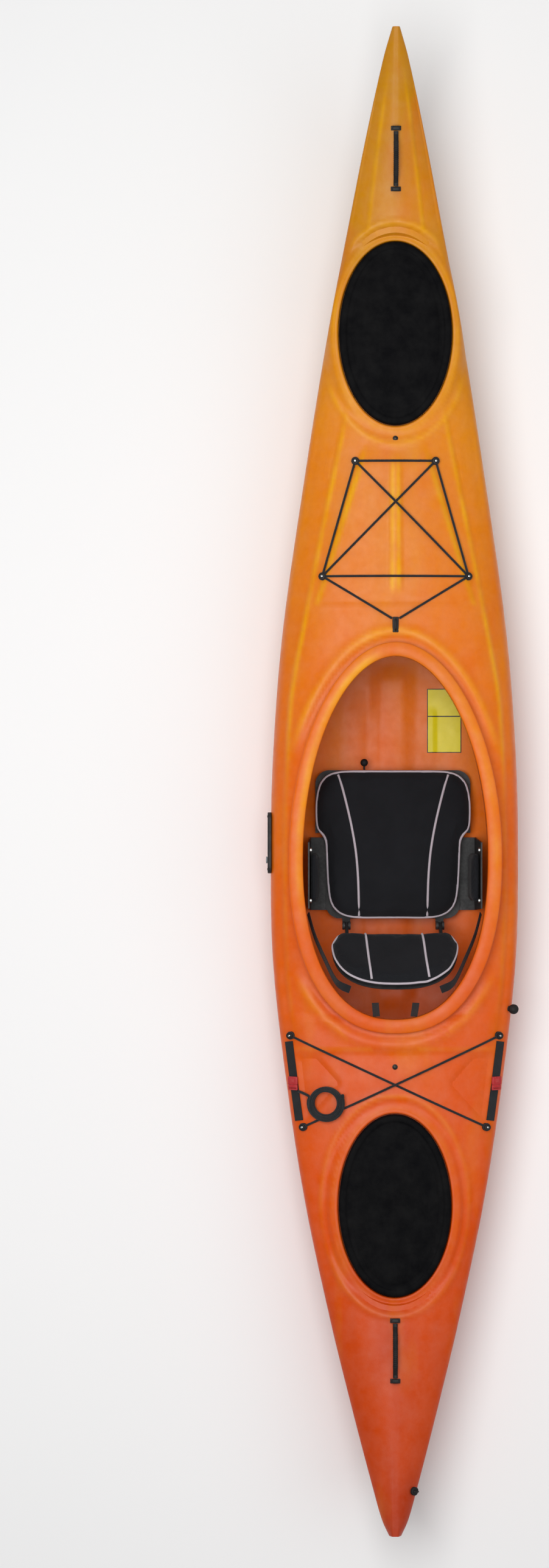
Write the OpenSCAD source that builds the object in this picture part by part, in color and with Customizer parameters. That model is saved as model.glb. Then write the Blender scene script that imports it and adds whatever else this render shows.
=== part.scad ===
// Day-touring kayak with a drop-down skeg, two oval hatches, a padded seat and deck bungees.
// +X points to the bow, +Y to port and +Z up. The keel's flat lies on Z = 0, midships on X = 0.

/* [Hull] */
// Length over all
hull_length = 3860; // [3500:10:4200]
// Greatest beam
hull_beam = 640; // [560:5:720]
// Wall of the moulded shell
wall = 5; // [4:0.5:6.5]
// Height of the bow tip above the keel
bow_height = 383; // [340:1:430]
// Height of the stern tip above the keel
stern_height = 305; // [280:1:340]
// Height of the foredeck's crown ahead of the cockpit
foredeck_height = 318; // [300:1:340]
// Height of the aft deck's crown behind the cockpit
aftdeck_height = 262; // [256:1:275]
// Height of the widest line amidships
sheer_height = 190; // [175:1:205]
// Half the width of the keel's flat
keel_half = 40; // [30:1:50]

/* [Cockpit] */
// Front end of the opening
opening_front = 327; // [300:1:340]
// Rear end of the opening
opening_rear = -605; // [-620:1:-590]
// Where the opening is widest
opening_wide_x = -190; // [-230:1:-150]
// Width of the opening
opening_width = 474; // [440:1:490]
// Width of the coaming's lip, wall included
lip_width = 36; // [24:1:38]
// Thickness of the coaming's lip
lip_thickness = 5; // [4:0.5:7]
// Height of the coaming at its front
coaming_front_height = 346; // [336:1:360]
// Height of the coaming at its rear
coaming_rear_height = 281; // [278:1:292]
// Height of the floor ribs
rib_height = 9; // [6:1:12]

/* [Hatches] */
// Length of a hatch cover
cover_length = 470; // [420:1:480]
// Width of a hatch cover
cover_width = 289; // [260:1:292]
// Depth of a cover's skirt
cover_skirt = 25; // [20:1:27]
// Thickness of a cover
cover_thickness = 5; // [4:0.5:7]
// Centre of the bow hatch
bow_hatch_x = 1155; // [1140:1:1165]
// Height of the bow cover's top
bow_cover_top = 315; // [312:1:318]
// Centre of the stern hatch
stern_hatch_x = -1085; // [-1100:1:-1070]
// Height of the stern cover's top
stern_cover_top = 273; // [270:1:276]
// Gap between a cover and its rim
cover_gap = 1; // [0.5:0.1:2]

/* [Bulkheads] */
// Bow bulkhead
bow_bulkhead_x = 890; // [880:1:895]
// Stern bulkhead
stern_bulkhead_x = -724; // [-740:1:-700]
// Thickness of a bulkhead
bulkhead_thickness = 10; // [6:1:14]

/* [Skeg] */
// Pivot of the blade
skeg_x = -1236; // [-1250:1:-1225]
// Length of the blade from pivot to tail
skeg_length = 272; // [240:1:290]
// Height of the blade's tail
skeg_tail = 86; // [70:1:95]
// Thickness of the blade
skeg_thickness = 8; // [6:1:10]
// Gap at each side of the blade
skeg_side_gap = 1.5; // [1:0.5:3]
// Radius of the pivot pin
skeg_pin_r = 3; // [2.5:0.5:4]
// Radial gap of a turning pin
pin_gap = 0.05; // [0.02:0.01:0.1]
// Length of the slider's housing
slider_length = 158; // [140:1:180]
// Width of the slider's housing
slider_width = 36; // [30:1:42]
// Height of the slider's housing off the hull
slider_rise = 8; // [6:1:10]
// Middle of the slider's housing
slider_x = -152; // [-170:1:-140]
// Travel of the slider's knob
slider_travel = 88; // [70:1:92]

/* [Seat] */
// Front edge of the cushion
seat_front = 44; // [30:1:60]
// Length of the cushion
seat_length = 404; // [380:1:412]
// Width of the cushion's front
seat_width = 422; // [400:1:440]
// Width of the cushion's rear
seat_rear_width = 367; // [340:1:380]
// Thickness of the cushion
cushion_thickness = 34; // [24:1:40]
// Height of the pan's upper face
pan_top = 46; // [42:1:50]
// Width of the backrest
backrest_width = 336; // [300:1:350]
// Length of the backrest along its slope
backrest_length = 185; // [160:1:195]
// Thickness of the backrest's pad
backrest_thickness = 34; // [26:1:38]
// Lean of the backrest from upright
backrest_lean = 45; // [35:1:50]

/* [Foot braces] */
// Forward end of the rails
rail_front = 762; // [740:1:780]
// Aft end of the rails
rail_rear = 322; // [310:1:360]
// Height of the rails
rail_z = 126; // [118:1:132]
// Height of a pedal
pedal_height = 112; // [90:1:120]
// Width of a pedal
pedal_width = 62; // [50:1:70]

/* [Deck fittings] */
// Middle of the bow handle
bow_handle_x = 1596; // [1580:1:1610]
// Middle of the stern handle
stern_handle_x = -1455; // [-1470:1:-1445]
// Distance between a handle's two pins
handle_span = 146; // [130:1:156]
// Radius of a handle's grip
handle_r = 7; // [6:0.5:8]
// Rise of the grip's middle over its ends
handle_rise = 17; // [15:1:19]
// Radius of the bungee cord
bungee_r = 3; // [2.5:0.5:4]
// Height of a bungee button
button_height = 15; // [13:1:18]
// Width of the deck webbing
webbing_width = 25; // [20:1:30]
// Thickness of the webbing
webbing_thickness = 2.4; // [2:0.2:3]
// Radius of the coiled tail of the webbing
coil_r = 51; // [45:1:55]
// Place of the drain plug
drain_x = -1815; // [-1825:1:-1800]
// Radius of the drain plug's cap
drain_r = 11; // [8:1:13]

/* [Hidden] */

half = hull_length / 2;
seat_gap = 0.3;
fine = 48;
quarter_points = 10;
stations = 42;
hull_orange = "#ee7a1e";
black = "#1c1c1e";

// Lines of the hull: each row is the share of the length from the bow, then the value there.
BREADTH = [[0, 0.03], [0.02, 0.1], [0.07, 0.235], [0.12, 0.355], [0.2, 0.54], [0.3, 0.735],
    [0.4, 0.905], [0.48, 0.98], [0.55, 1], [0.62, 0.98], [0.7, 0.872], [0.78, 0.722],
    [0.86, 0.515], [0.92, 0.335], [0.97, 0.175], [0.99, 0.105], [1, 0.05]];
KEEL = [[0, bow_height - 14], [0.012, bow_height - 58], [0.028, bow_height - 113], [0.06, 162],
    [0.085, 101], [0.115, 68], [0.16, 56], [0.22, 39], [0.3, 19], [0.38, 7], [0.44, 0], [0.55, 0],
    [0.64, 0], [0.74, 11], [0.85, 24], [0.93, 38], [0.952, 50], [0.966, 82], [0.98, 142],
    [1, stern_height - 55]];
SHEER = [[0, bow_height - 7], [0.03, bow_height - 30], [0.1, 302], [0.2, 254], [0.3, 226],
    [0.4, sheer_height + 18], [0.5, sheer_height + 6], [0.6, sheer_height], [0.7, sheer_height + 2],
    [0.8, 206], [0.9, 236], [0.97, 268], [1, stern_height - 22]];
DECK = [[0, bow_height], [0.06, bow_height - 19], [0.12, 331], [0.15, 314], [0.2, 304],
    [0.28, 306], [0.34, foredeck_height - 6], [0.4, foredeck_height], [0.46, foredeck_height],
    [0.52, 304], [0.58, 288], [0.64, aftdeck_height + 4], [0.7, aftdeck_height], [0.78, 257],
    [0.84, 272], [0.9, 290], [0.97, stern_height - 2], [1, stern_height]];
// How full the bottom and the deck are: 2 is an ellipse, more is squarer, less is sharper.
BOTTOM_FULLNESS = [[0, 1.2], [0.1, 1.3], [0.25, 1.9], [0.45, 2.6], [0.62, 2.6], [0.8, 1.9],
    [0.92, 1.35], [1, 1.2]];
DECK_FULLNESS = [[0, 1.3], [0.12, 1.6], [0.2, 2.4], [0.28, 2.1], [0.4, 2.3], [0.48, 2.7],
    [0.6, 2.7], [0.68, 2.3], [0.78, 2.6], [0.87, 1.7], [1, 1.3]];
KEEL_FLAT = [[0, 0.12], [0.1, 0.16], [0.3, 0.5], [0.44, 1], [0.64, 1], [0.8, 0.5], [0.93, 0.2],
    [1, 0.16]];

// A smooth curve through the rows of a table.
function steep(t, i) = let (a = max(i - 1, 0), b = min(i + 1, len(t) - 1))
    (t[b][1] - t[a][1]) / (t[b][0] - t[a][0]);
function row(t, s, i = 0) = i >= len(t) - 2 || s < t[i + 1][0] ? i : row(t, s, i + 1);
function curve(t, s) = let (i = row(t, s), h = t[i + 1][0] - t[i][0], u = (s - t[i][0]) / h)
    (2 * u ^ 3 - 3 * u ^ 2 + 1) * t[i][1] + (u ^ 3 - 2 * u ^ 2 + u) * h * steep(t, i)
    + (3 * u ^ 2 - 2 * u ^ 3) * t[i + 1][1] + (u ^ 3 - u ^ 2) * h * steep(t, i + 1);

function share(x) = 0.5 - x / hull_length;
function breadth(x) = hull_beam / 2 * curve(BREADTH, share(x));
function keel(x) = max(0, curve(KEEL, share(x)));
function sheer(x) = curve(SHEER, share(x));
function deck(x) = curve(DECK, share(x));
function bottom_n(x) = curve(BOTTOM_FULLNESS, share(x));
function deck_n(x) = curve(DECK_FULLNESS, share(x));
function flat(x) = keel_half * curve(KEEL_FLAT, share(x));

// Height of the deck, and of the bottom, at a place; half breadth at a height below the sheer.
function deck_z(x, y, in = 0) = let (f = flat(x), b = breadth(x) - in,
        v = min(1, max(0, (abs(y) - f) / (b - f))))
    sheer(x) + (deck(x) - in - sheer(x)) * (1 - v ^ deck_n(x)) ^ (1 / deck_n(x));
function floor_z(x, y, in = 0) = let (f = flat(x), b = breadth(x) - in,
        v = min(1, max(0, (abs(y) - f) / (b - f))))
    sheer(x) - (sheer(x) - keel(x) - in) * (1 - v ^ bottom_n(x)) ^ (1 / bottom_n(x));
function side_y(x, z, in = 0) = let (f = flat(x), v = (sheer(x) - z) / (sheer(x) - keel(x) - in))
    f + (breadth(x) - in - f) * (1 - v ^ bottom_n(x)) ^ (1 / bottom_n(x));

// One cross-section, from the keel up the port side and down the starboard side.
function half_section(x, in) = let (k = keel(x) + in * (1 + 1.6 * (2.6 - bottom_n(x))),
        d = deck(x) - in * (1 + 0.5 * max(0, 2.3 - deck_n(x))), h = sheer(x),
        f = max(2, flat(x) - in * 0.4), b = breadth(x) - in - f)
    [for (j = [0:2 * quarter_points]) let (a = -90 + 90 * j / quarter_points,
        n = a < 0 ? bottom_n(x) : deck_n(x))
        [f + b * cos(a) ^ (2 / n),
         a < 0 ? h - (h - k) * (-sin(a)) ^ (2 / n) : h + (d - h) * sin(a) ^ (2 / n)]];
function section(x, in = 0) = let (p = half_section(x, in), m = len(p) - 1)
    concat([for (q = p) q], [for (j = [m:-1:0]) [-p[j][0], p[j][1]]]);
function ring(x, in = 0) = [for (p = section(x, in)) [x, p[0], p[1]]];

// A solid through a list of rings, open-ended or closed on itself.
module skin(rings, loop = false) {
    n = len(rings[0]);
    m = len(rings);
    last = loop ? m - 1 : m - 2;
    quads = [for (i = [0:last], j = [0:n - 1])
        [i * n + j, i * n + (j + 1) % n, (i + 1) % m * n + (j + 1) % n, (i + 1) % m * n + j]];
    sides = [for (q = quads) each [[q[0], q[1], q[2]], [q[0], q[2], q[3]]]];
    caps = loop ? [] : [[for (j = [n - 1:-1:0]) j], [for (j = [0:n - 1]) (m - 1) * n + j]];
    polyhedron([for (r = rings) each r], concat(sides, caps));
}

// A round cord, or a flat strap, along a list of points.
function unit(v) = v / norm(v);
function along(p, i) = unit(p[min(i + 1, len(p) - 1)] - p[max(i - 1, 0)]);
module cord(path, r, sides = 8) {
    skin([for (i = [0:len(path) - 1])
        let (t = along(path, i), u = unit(cross(t, [0, 0, 1])), v = cross(u, t))
        [for (a = [0:360 / sides:359]) path[i] + r * (cos(a) * u + sin(a) * v)]]);
}
module strap(path, normals, width, thickness) {
    skin([for (i = [0:len(path) - 1])
        let (t = along(path, i), n = unit(normals[i]), w = unit(cross(t, n)))
        [for (c = [[-1, 0], [-1, 1], [1, 1], [1, 0]])
            path[i] + c[0] * width / 2 * w + c[1] * thickness * n]]);
}

// Stands its children on the deck, square to it.
function deck_normal(x, y) = unit([deck_z(x - 5, y) - deck_z(x + 5, y),
    deck_z(x, y - 5) - deck_z(x, y + 5), 10]);
module on_deck(x, y, lift = 0) {
    n = deck_normal(x, y);
    translate([x, y, deck_z(x, y)])
        rotate([0, acos(n[2]), atan2(n[1], n[0])])
            translate([0, 0, lift])
                children();
}
module both() {
    children();
    mirror([0, 1, 0]) children();
}
module rod(r, h) cylinder(r = r, h = h, $fn = fine);
module rod_y(r, h) rotate([-90, 0, 0]) rod(r, h);

// Outline of the cockpit opening, moved outwards by r.
opening_middle = opening_wide_x;
opening_front_n = 1.95;
opening_rear_n = 2.3;
function power(v, e) = sign(v) * abs(v) ^ e;
function opening_point(a, r = 0) = let (front = cos(a) >= 0,
        n = front ? opening_front_n : opening_rear_n,
        l = front ? opening_front - opening_middle : opening_middle - opening_rear)
    [opening_middle + (l + r) * power(cos(a), 2 / n), (opening_width / 2 + r) * power(sin(a), 2 / n)];
function coaming_top(x) = let (full = opening_front - opening_rear + 2 * lip_width,
        u = min(1, max(0, (opening_front + lip_width - x) / full)))
    coaming_front_height - (coaming_front_height - coaming_rear_height) * u ^ 1.3;
coaming_steps = 60;
coaming_wall = wall;
function coaming_ring(a) = let (p = opening_point(a), top = coaming_top(p[0]),
        base = deck_z(p[0], p[1]) - wall - 2, w = lip_width, t = lip_thickness)
    [for (c = [[0, base], [coaming_wall, base], [coaming_wall, top - t - 1], [w - 2, top - t - 1],
        [w, top - t + 1], [w, top - 1.5], [w - 1.5, top], [2, top], [0, top - 2]])
        concat(opening_point(a, c[0]), [c[1]])];

// Oval prism about a hatch, with its edge moved outwards by r.
module hatch_oval(x, r, low, high, points = 60) {
    translate([x, 0, low])
        linear_extrude(high - low)
            polygon([for (a = [0:360 / points:359.9])
                [(cover_length / 2 + r) * cos(a), (cover_width / 2 + r) * sin(a)]]);
}
rim_inset = cover_thickness + cover_gap;
recess_reach = 14;
recess_gap = 3;

module hatch_cut(x, top) {
    hatch_oval(x, recess_reach, top - cover_skirt - recess_gap, top + 60);
}
module hatch_floor(x, top) {
    hatch_oval(x, recess_reach + wall, top - cover_skirt - recess_gap - wall, top + 60);
}
module hatch_rim(x, top) {
    hatch_oval(x, -rim_inset, top - cover_skirt - recess_gap - wall, top - cover_thickness - cover_gap);
}
module hatch_mouth(x, top) {
    hatch_oval(x, -rim_inset - wall, top - 100, top + 60);
}

// Tilted frame of the skeg: its origin is on the keel line under the pivot.
skeg_tilt = atan((keel(skeg_x - skeg_length) - keel(skeg_x)) / skeg_length);
pivot_lift = 22;
slot_half = skeg_thickness / 2 + skeg_side_gap;
box_wall = 4;
slot_front = 20;
slot_rear = 14;
box_top = skeg_tail + 26;
knob_drop = 17;
cable_entry = box_top - 22;
function skeg_point(x, z) = [skeg_x + x * cos(skeg_tilt) + z * sin(skeg_tilt), 0,
    keel(skeg_x) - x * sin(skeg_tilt) + z * cos(skeg_tilt)];
module skeg_frame() translate([skeg_x, 0, keel(skeg_x)]) rotate([0, skeg_tilt, 0]) children();
module skeg_slot(half_width) {
    skeg_frame()
        translate([-skeg_length - slot_rear, -half_width, -30])
            cube([skeg_length + slot_rear + slot_front, 2 * half_width, 60]);
}

// Floor ribs of the cockpit: one on the keel and one each side, each in three tiers.
rib_ys = [0, 92, -92];
rib_tiers = [[1, 0.4], [0.8, 0.75], [0.55, 1]];
function rib_half(y) = y == 0 ? 44 : 22;
function rib_rise(y) = y == 0 ? rib_height : rib_height * 0.35;
function rib_top(y) = floor_z(0, abs(y) + rib_half(y), wall) + rib_rise(y);
module rib(y) {
    base = rib_top(y) - rib_rise(y) - 2.6;
    for (i = [0:2]) {
        w = rib_half(y) * rib_tiers[i][0];
        top = rib_top(y) - rib_rise(y) * (1 - rib_tiers[i][1]);
        ends = y == 0 ? [-590 + 14 * i, 290 - 14 * i] : [-530 + 14 * i, 190 - 14 * i];
        hull() for (x = ends)
            translate([x, y - w, base + 0.2 * i]) cube([3, 2 * w, top - base - 0.2 * i]);
    }
}

slider_z = sheer_height + 22;
slider_y = breadth(slider_x);
cable_hole_x = slider_x - slider_length / 2 + 16;
rail_stand = 20;
rail_ends = [[rail_front, side_y(rail_front, rail_z, wall)], [rail_rear, side_y(rail_rear, rail_z, wall)]];
rail_run = norm(rail_ends[0] - rail_ends[1]);
rail_turn = atan2(rail_ends[0][1] - rail_ends[1][1], rail_ends[0][0] - rail_ends[1][0]);
// Frame of the port rail: +X runs forward along the rail, +Y points outboard.
module rail_frame() {
    translate([rail_ends[1][0], rail_ends[1][1], rail_z]) rotate([0, 0, rail_turn]) children();
}
screw_r = 3;
screw_inset = 24;
module rail_screw_holes() {
    rail_frame() for (x = [screw_inset, rail_run - screw_inset])
        translate([x, -8, 0]) rod_y(screw_r + 0.3, 40);
}

drain_y = -0.8 * breadth(drain_x);
module drain_frame() on_deck(drain_x, drain_y) children();
drain_shank_r = 6;

module hull_body() {
    skin([for (i = [0:stations]) ring(half * cos(180 * i / stations))]);
}
module hull_hollow() {
    skin([for (i = [0:stations]) ring(0.958 * half * cos(180 * i / stations) - 6, wall)]);
}

module hull_shell() {
    color(hull_orange) difference() {
        union() {
            difference() {
                hull_body();
                hatch_cut(bow_hatch_x, bow_cover_top);
                hatch_cut(stern_hatch_x, stern_cover_top);
                difference() {
                    hull_hollow();
                    hatch_floor(bow_hatch_x, bow_cover_top);
                    hatch_floor(stern_hatch_x, stern_cover_top);
                }
                translate([0, 0, sheer_height])
                    linear_extrude(400)
                        polygon([for (i = [0:coaming_steps - 1])
                            opening_point(360 * i / coaming_steps, 1)]);
            }
            skin([for (i = [0:coaming_steps - 1]) coaming_ring(360 * i / coaming_steps)], true);
            intersection() {
                union() {
                    hatch_rim(bow_hatch_x, bow_cover_top);
                    hatch_rim(stern_hatch_x, stern_cover_top);
                }
                translate([-half, -half, sheer_height]) cube([hull_length, hull_length, 500]);
            }
            for (y = rib_ys) rib(y);
        }
        hatch_mouth(bow_hatch_x, bow_cover_top);
        hatch_mouth(stern_hatch_x, stern_cover_top);
        skeg_slot(slot_half + box_wall + seat_gap);
        translate([cable_hole_x, slider_y - 20, slider_z]) rod_y(5, 40);
        both() rail_screw_holes();
        drain_frame() translate([0, 0, -30]) rod(drain_shank_r + 0.6, 60);
    }
}

// A wall across the hull at x, cut to the inside of the shell.
bulkhead_gap = 0.8;
module bulkhead(x) {
    aft = x < 0 ? x - bulkhead_thickness : x;
    narrow = x < 0 ? x - bulkhead_thickness : x + bulkhead_thickness;
    translate([aft, 0, 0])
        rotate([90, 0, 90])
            linear_extrude(bulkhead_thickness)
                polygon(section(narrow, wall + bulkhead_gap));
}
module bow_bulkhead() color("#d98c2b") bulkhead(bow_bulkhead_x);
module stern_bulkhead() {
    color("#d98c2b") difference() {
        bulkhead(stern_bulkhead_x);
        cord(CONDUIT, conduit_r + 0.8, 12);
    }
}

module hatch_cover(x, top) {
    difference() {
        hatch_oval(x, 0, top - cover_skirt, top);
        hatch_oval(x, -cover_thickness, top - cover_skirt - 1, top - cover_thickness);
    }
}
module bow_hatch_cover() color(black) hatch_cover(bow_hatch_x, bow_cover_top);
module stern_hatch_cover() color(black) hatch_cover(stern_hatch_x, stern_cover_top);

// The skeg: a blade in a box, turning on a pin at its forward end.
blade_front_r = 13;
keel_gap = 2;
module skeg_box() {
    color("#26262a") skeg_frame() difference() {
        translate([-skeg_length - slot_rear, -slot_half - box_wall, keel_gap])
            cube([skeg_length + slot_rear + slot_front, 2 * (slot_half + box_wall), box_top - keel_gap]);
        translate([-skeg_length - slot_rear + box_wall, -slot_half, keel_gap - 1])
            cube([skeg_length + slot_rear + slot_front - 2 * box_wall, 2 * slot_half,
                box_top - keel_gap + 1 - box_wall]);
        translate([0, -20, pivot_lift]) rod_y(skeg_pin_r + pin_gap, 40);
        translate([slot_front - box_wall - 1, 0, cable_entry])
            rotate([0, 90, 0]) rod(conduit_r / 2, box_wall + 2);
    }
}
module skeg_blade() {
    color(black) skeg_frame() difference() {
        translate([0, skeg_thickness / 2, 0])
            rotate([90, 0, 0])
                linear_extrude(skeg_thickness)
                    polygon(concat(
                        [for (a = [100:-15:-65])
                            [blade_front_r * cos(a), pivot_lift + blade_front_r * sin(a)]],
                        [[-8, keel_gap + 2], [-skeg_length + 12, keel_gap + 2],
                        [-skeg_length, keel_gap + 12], [-skeg_length, skeg_tail - 8],
                        [-skeg_length + 8, skeg_tail], [-skeg_length + 30, skeg_tail]]));
        translate([0, -20, pivot_lift]) rod_y(skeg_pin_r + pin_gap, 40);
    }
}
module skeg_pin() {
    color("silver") skeg_frame()
        translate([0, -slot_half - box_wall, pivot_lift])
            rod_y(skeg_pin_r, 2 * (slot_half + box_wall));
}

// The cable's conduit, from the slider through the stern bulkhead to the skeg box.
conduit_r = 4;
CONDUIT = [[cable_hole_x, slider_y - 12, slider_z], [cable_hole_x - 30, slider_y - 24, slider_z - 6],
    [-300, 290, 195], [-400, 281, 180], [-520, 270, 165], [-640, 250, 150], [-760, 220, 142],
    [-880, 180, 136], [-1000, 130, 128], [-1100, 75, 118], [-1160, 30, 112],
    skeg_point(slot_front + 14, cable_entry) + [0, 2, 0], skeg_point(slot_front + 0.4, cable_entry)];
module skeg_conduit() color("#2d2d30") cord(CONDUIT, conduit_r);

// The slider: a housing on the port side with a knob in its slot.
slider_slot = 12;
knob_r = 9;
knob_rest = -slider_travel / 2;
module pill(length, width, height) {
    r = width / 2;
    union() {
        translate([-length / 2 + r, 0, 0]) rod(r, height);
        translate([length / 2 - r, 0, 0]) rod(r, height);
        translate([-length / 2 + r, -r, 0]) cube([length - width, width, height]);
    }
}
module slider_frame() translate([slider_x, slider_y, slider_z]) rotate([-90, 0, 0]) children();
module slider_housing() {
    color(black) slider_frame() difference() {
        pill(slider_length, slider_width, slider_rise);
        translate([0, 0, 3]) pill(slider_travel + 22, slider_slot, slider_rise);
    }
}
module slider_knob() {
    color("gray") slider_frame() translate([knob_rest, 0, 0]) {
        translate([0, 0, 3.4]) rod(slider_slot / 2 - 0.6, slider_rise - 3);
        translate([0, 0, slider_rise + 0.4]) rod(knob_r, 4);
    }
}

// The seat.
seat_step = 172;
corner = 44;
module seat_outline(in, low, high, round_r) {
    front_half = seat_width / 2 - in;
    rear_half = seat_rear_width / 2 - in;
    translate([0, 0, low]) union() {
        hull() {
            for (y = [-1, 1])
                translate([seat_front - in - round_r, y * (front_half - round_r), 0])
                    cylinder(r = round_r, h = high - low, $fn = 32);
            translate([seat_front - seat_step, -front_half, 0])
                cube([20, 2 * front_half, high - low]);
        }
        hull() {
            for (y = [-1, 1])
                translate([seat_front - seat_length + in + round_r, y * (rear_half - round_r), 0])
                    cylinder(r = round_r, h = high - low, $fn = 32);
            translate([seat_front - seat_step - 2, -rear_half, 0])
                cube([20, 2 * rear_half, high - low]);
        }
    }
}
pan_low = rib_top(0) + seat_gap;
pan_bottom_half = 128;
cushion_low = pan_top + seat_gap;
cushion_top = cushion_low + cushion_thickness;
hinge_x = seat_front - seat_length - 10;
hinge_z = cushion_top + 16;
arm_y = 118;
arm_thickness = 8;
ear_thickness = 6;
hinge_pin_r = 3;
module ear(y) {
    translate([hinge_x, y, hinge_z]) rod_y(10, ear_thickness);
    translate([hinge_x - 10, y, pan_top - 6]) cube([20, ear_thickness, hinge_z - pan_top + 6]);
}
ear_ys = [arm_y - ear_thickness - 0.5, arm_y + arm_thickness + 0.5];
module seat_pan() {
    color("#232326") difference() {
        union() {
            seat_outline(8, pan_top - 6, pan_top, corner - 8);
            hull() {
                translate([seat_front - seat_length + 30, -pan_bottom_half, pan_low])
                    cube([seat_length - 60, 2 * pan_bottom_half, 1]);
                translate([seat_front - seat_length + 20, -150, pan_top - 7])
                    cube([seat_length - 40, 300, 3]);
            }
            both() for (y = ear_ys) ear(y);
            both() translate([hinge_x - 10, ear_ys[0], pan_top - 6])
                cube([30, ear_ys[1] + ear_thickness - ear_ys[0], 6]);
        }
        hull() {
            translate([seat_front - seat_length + 34, 4 - pan_bottom_half, pan_low - 1])
                cube([seat_length - 68, 2 * pan_bottom_half - 8, 1]);
            translate([seat_front - seat_length + 26, -142, pan_top - 10])
                cube([seat_length - 52, 284, 4]);
        }
        both() translate([hinge_x, ear_ys[0] - 1, hinge_z]) rod_y(hinge_pin_r + pin_gap, 30);
    }
}
module seat_cushion() color(black) seat_outline(0, cushion_low, cushion_top, corner);

// Side plates carry the seat from the coaming's wall, and hold the hip pads.
plate_front = -140;
plate_rear = -330;
plate_low_y = seat_width / 2 + 3;
plate_high_y = opening_width / 2 - 17;
plate_high_z = coaming_top(plate_rear) - 26;
plate_thickness = 4;
flange_thickness = 3.2;
flange_low_y = 154;
plate_low_z = pan_top - 6 - seat_gap - flange_thickness;
module side_plate() {
    union() {
        hull() {
            translate([plate_rear, plate_low_y, plate_low_z])
                cube([plate_front - plate_rear, plate_thickness, 1]);
            translate([plate_rear + 10, plate_high_y, plate_high_z])
                cube([plate_front - plate_rear - 20, plate_thickness, 1]);
        }
        translate([plate_rear, flange_low_y, plate_low_z])
            cube([plate_front - plate_rear, plate_low_y + 2 - flange_low_y, flange_thickness]);
    }
}
module seat_side_plates() color("#232326") both() side_plate();
bolt_z = plate_high_z - 14;
module seat_bolts() {
    color("silver") both() for (x = [plate_rear + 30, plate_front - 30])
        translate([x, plate_high_y - 1.4 - 4, bolt_z]) rod_y(6, 4);
}
pad_thickness = 22;
module hip_pad() {
    slope = (plate_high_y - plate_low_y) / (plate_high_z - plate_low_z);
    low = cushion_top + 14;
    high = plate_high_z - 34;
    hull() for (z = [low, high]) {
        y = plate_low_y + slope * (z - plate_low_z) - seat_gap - pad_thickness;
        for (x = [-298, -186])
            translate([x, y, z]) rod_y(10, pad_thickness - 0.4);
    }
}
module hip_pad_port() color(black) hip_pad();
module hip_pad_starboard() color(black) mirror([0, 1, 0]) hip_pad();

// Pull ball of the seat's front adjuster, on the pan's front edge.
ball_r = 10;
ball_y = 75;
module seat_toggle() {
    color("#161618") union() {
        translate([seat_front + ball_r + 2, ball_y, pan_top - 3]) sphere(r = ball_r, $fn = fine);
        translate([seat_front - 8 + seat_gap, ball_y, pan_top - 3]) rotate([0, 90, 0]) rod(2.5, 14);
    }
}

// The backrest: a moulded plate on two arms, with a pad in front, leaning aft on its straps.
plate_t = 6;
back_low_x = hinge_x - 26;
back_low_z = hinge_z + 116;
function back_point(x, z) = [back_low_x + x * cos(backrest_lean) - z * sin(backrest_lean),
    back_low_z + x * sin(backrest_lean) + z * cos(backrest_lean)];
module backrest_frame() {
    translate([back_low_x, 0, back_low_z]) rotate([0, -backrest_lean, 0]) children();
}
module backrest_plate() {
    color("#232326") difference() {
        union() {
            backrest_frame() translate([-plate_t, -backrest_width / 2 + 12, 0])
                cube([plate_t, backrest_width - 24, backrest_length - 14]);
            both() {
                translate([hinge_x, arm_y, hinge_z]) rod_y(9, arm_thickness);
                translate([0, arm_y + arm_thickness, 0]) rotate([90, 0, 0])
                    linear_extrude(arm_thickness)
                        polygon([[hinge_x - 8, hinge_z], [hinge_x + 8, hinge_z], back_point(-2, 3),
                            back_point(-2, 60), back_point(-14, 46), back_point(-14, 4)]);
            }
        }
        both() translate([hinge_x, arm_y - 5, hinge_z]) rod_y(hinge_pin_r + pin_gap, 20);
    }
}
module backrest_pad() {
    w = backrest_width / 2;
    color(black) backrest_frame()
        translate([seat_gap, 0, -6])
            rotate([90, 0, 90])
                linear_extrude(backrest_thickness)
                    polygon(concat([[-w + 14, 0], [w - 14, 0]],
                        [for (a = [0:10:180]) [w * power(cos(a), 0.8),
                            30 + (backrest_length - 24) * power(sin(a), 0.8)]]));
}
module backrest_pins() {
    color("silver") both() translate([hinge_x, ear_ys[0], hinge_z])
        rod_y(hinge_pin_r, ear_ys[1] + ear_thickness - ear_ys[0]);
}
// Straps from the side plates round behind the backrest, and two short ones to the coaming.
STRAP_ROUTE = [[-334, 222, 214], [-390, 206, 236], [-450, 180, 262], [-508, 150, 290], [-527.2, 116, 308.8]];
module backrest_straps() {
    color("#161618") both() {
        strap(STRAP_ROUTE, [for (p = STRAP_ROUTE) [0.35, 1, 0.1]], 20, 2);
        strap([[-560, 52, 322], [-580, 50, 300], [-596, 48, 276]],
            [[-0.7, 0, 0.7], [-0.7, 0, 0.7], [-0.7, 0, 0.7]], 18, 2);
    }
}

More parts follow.
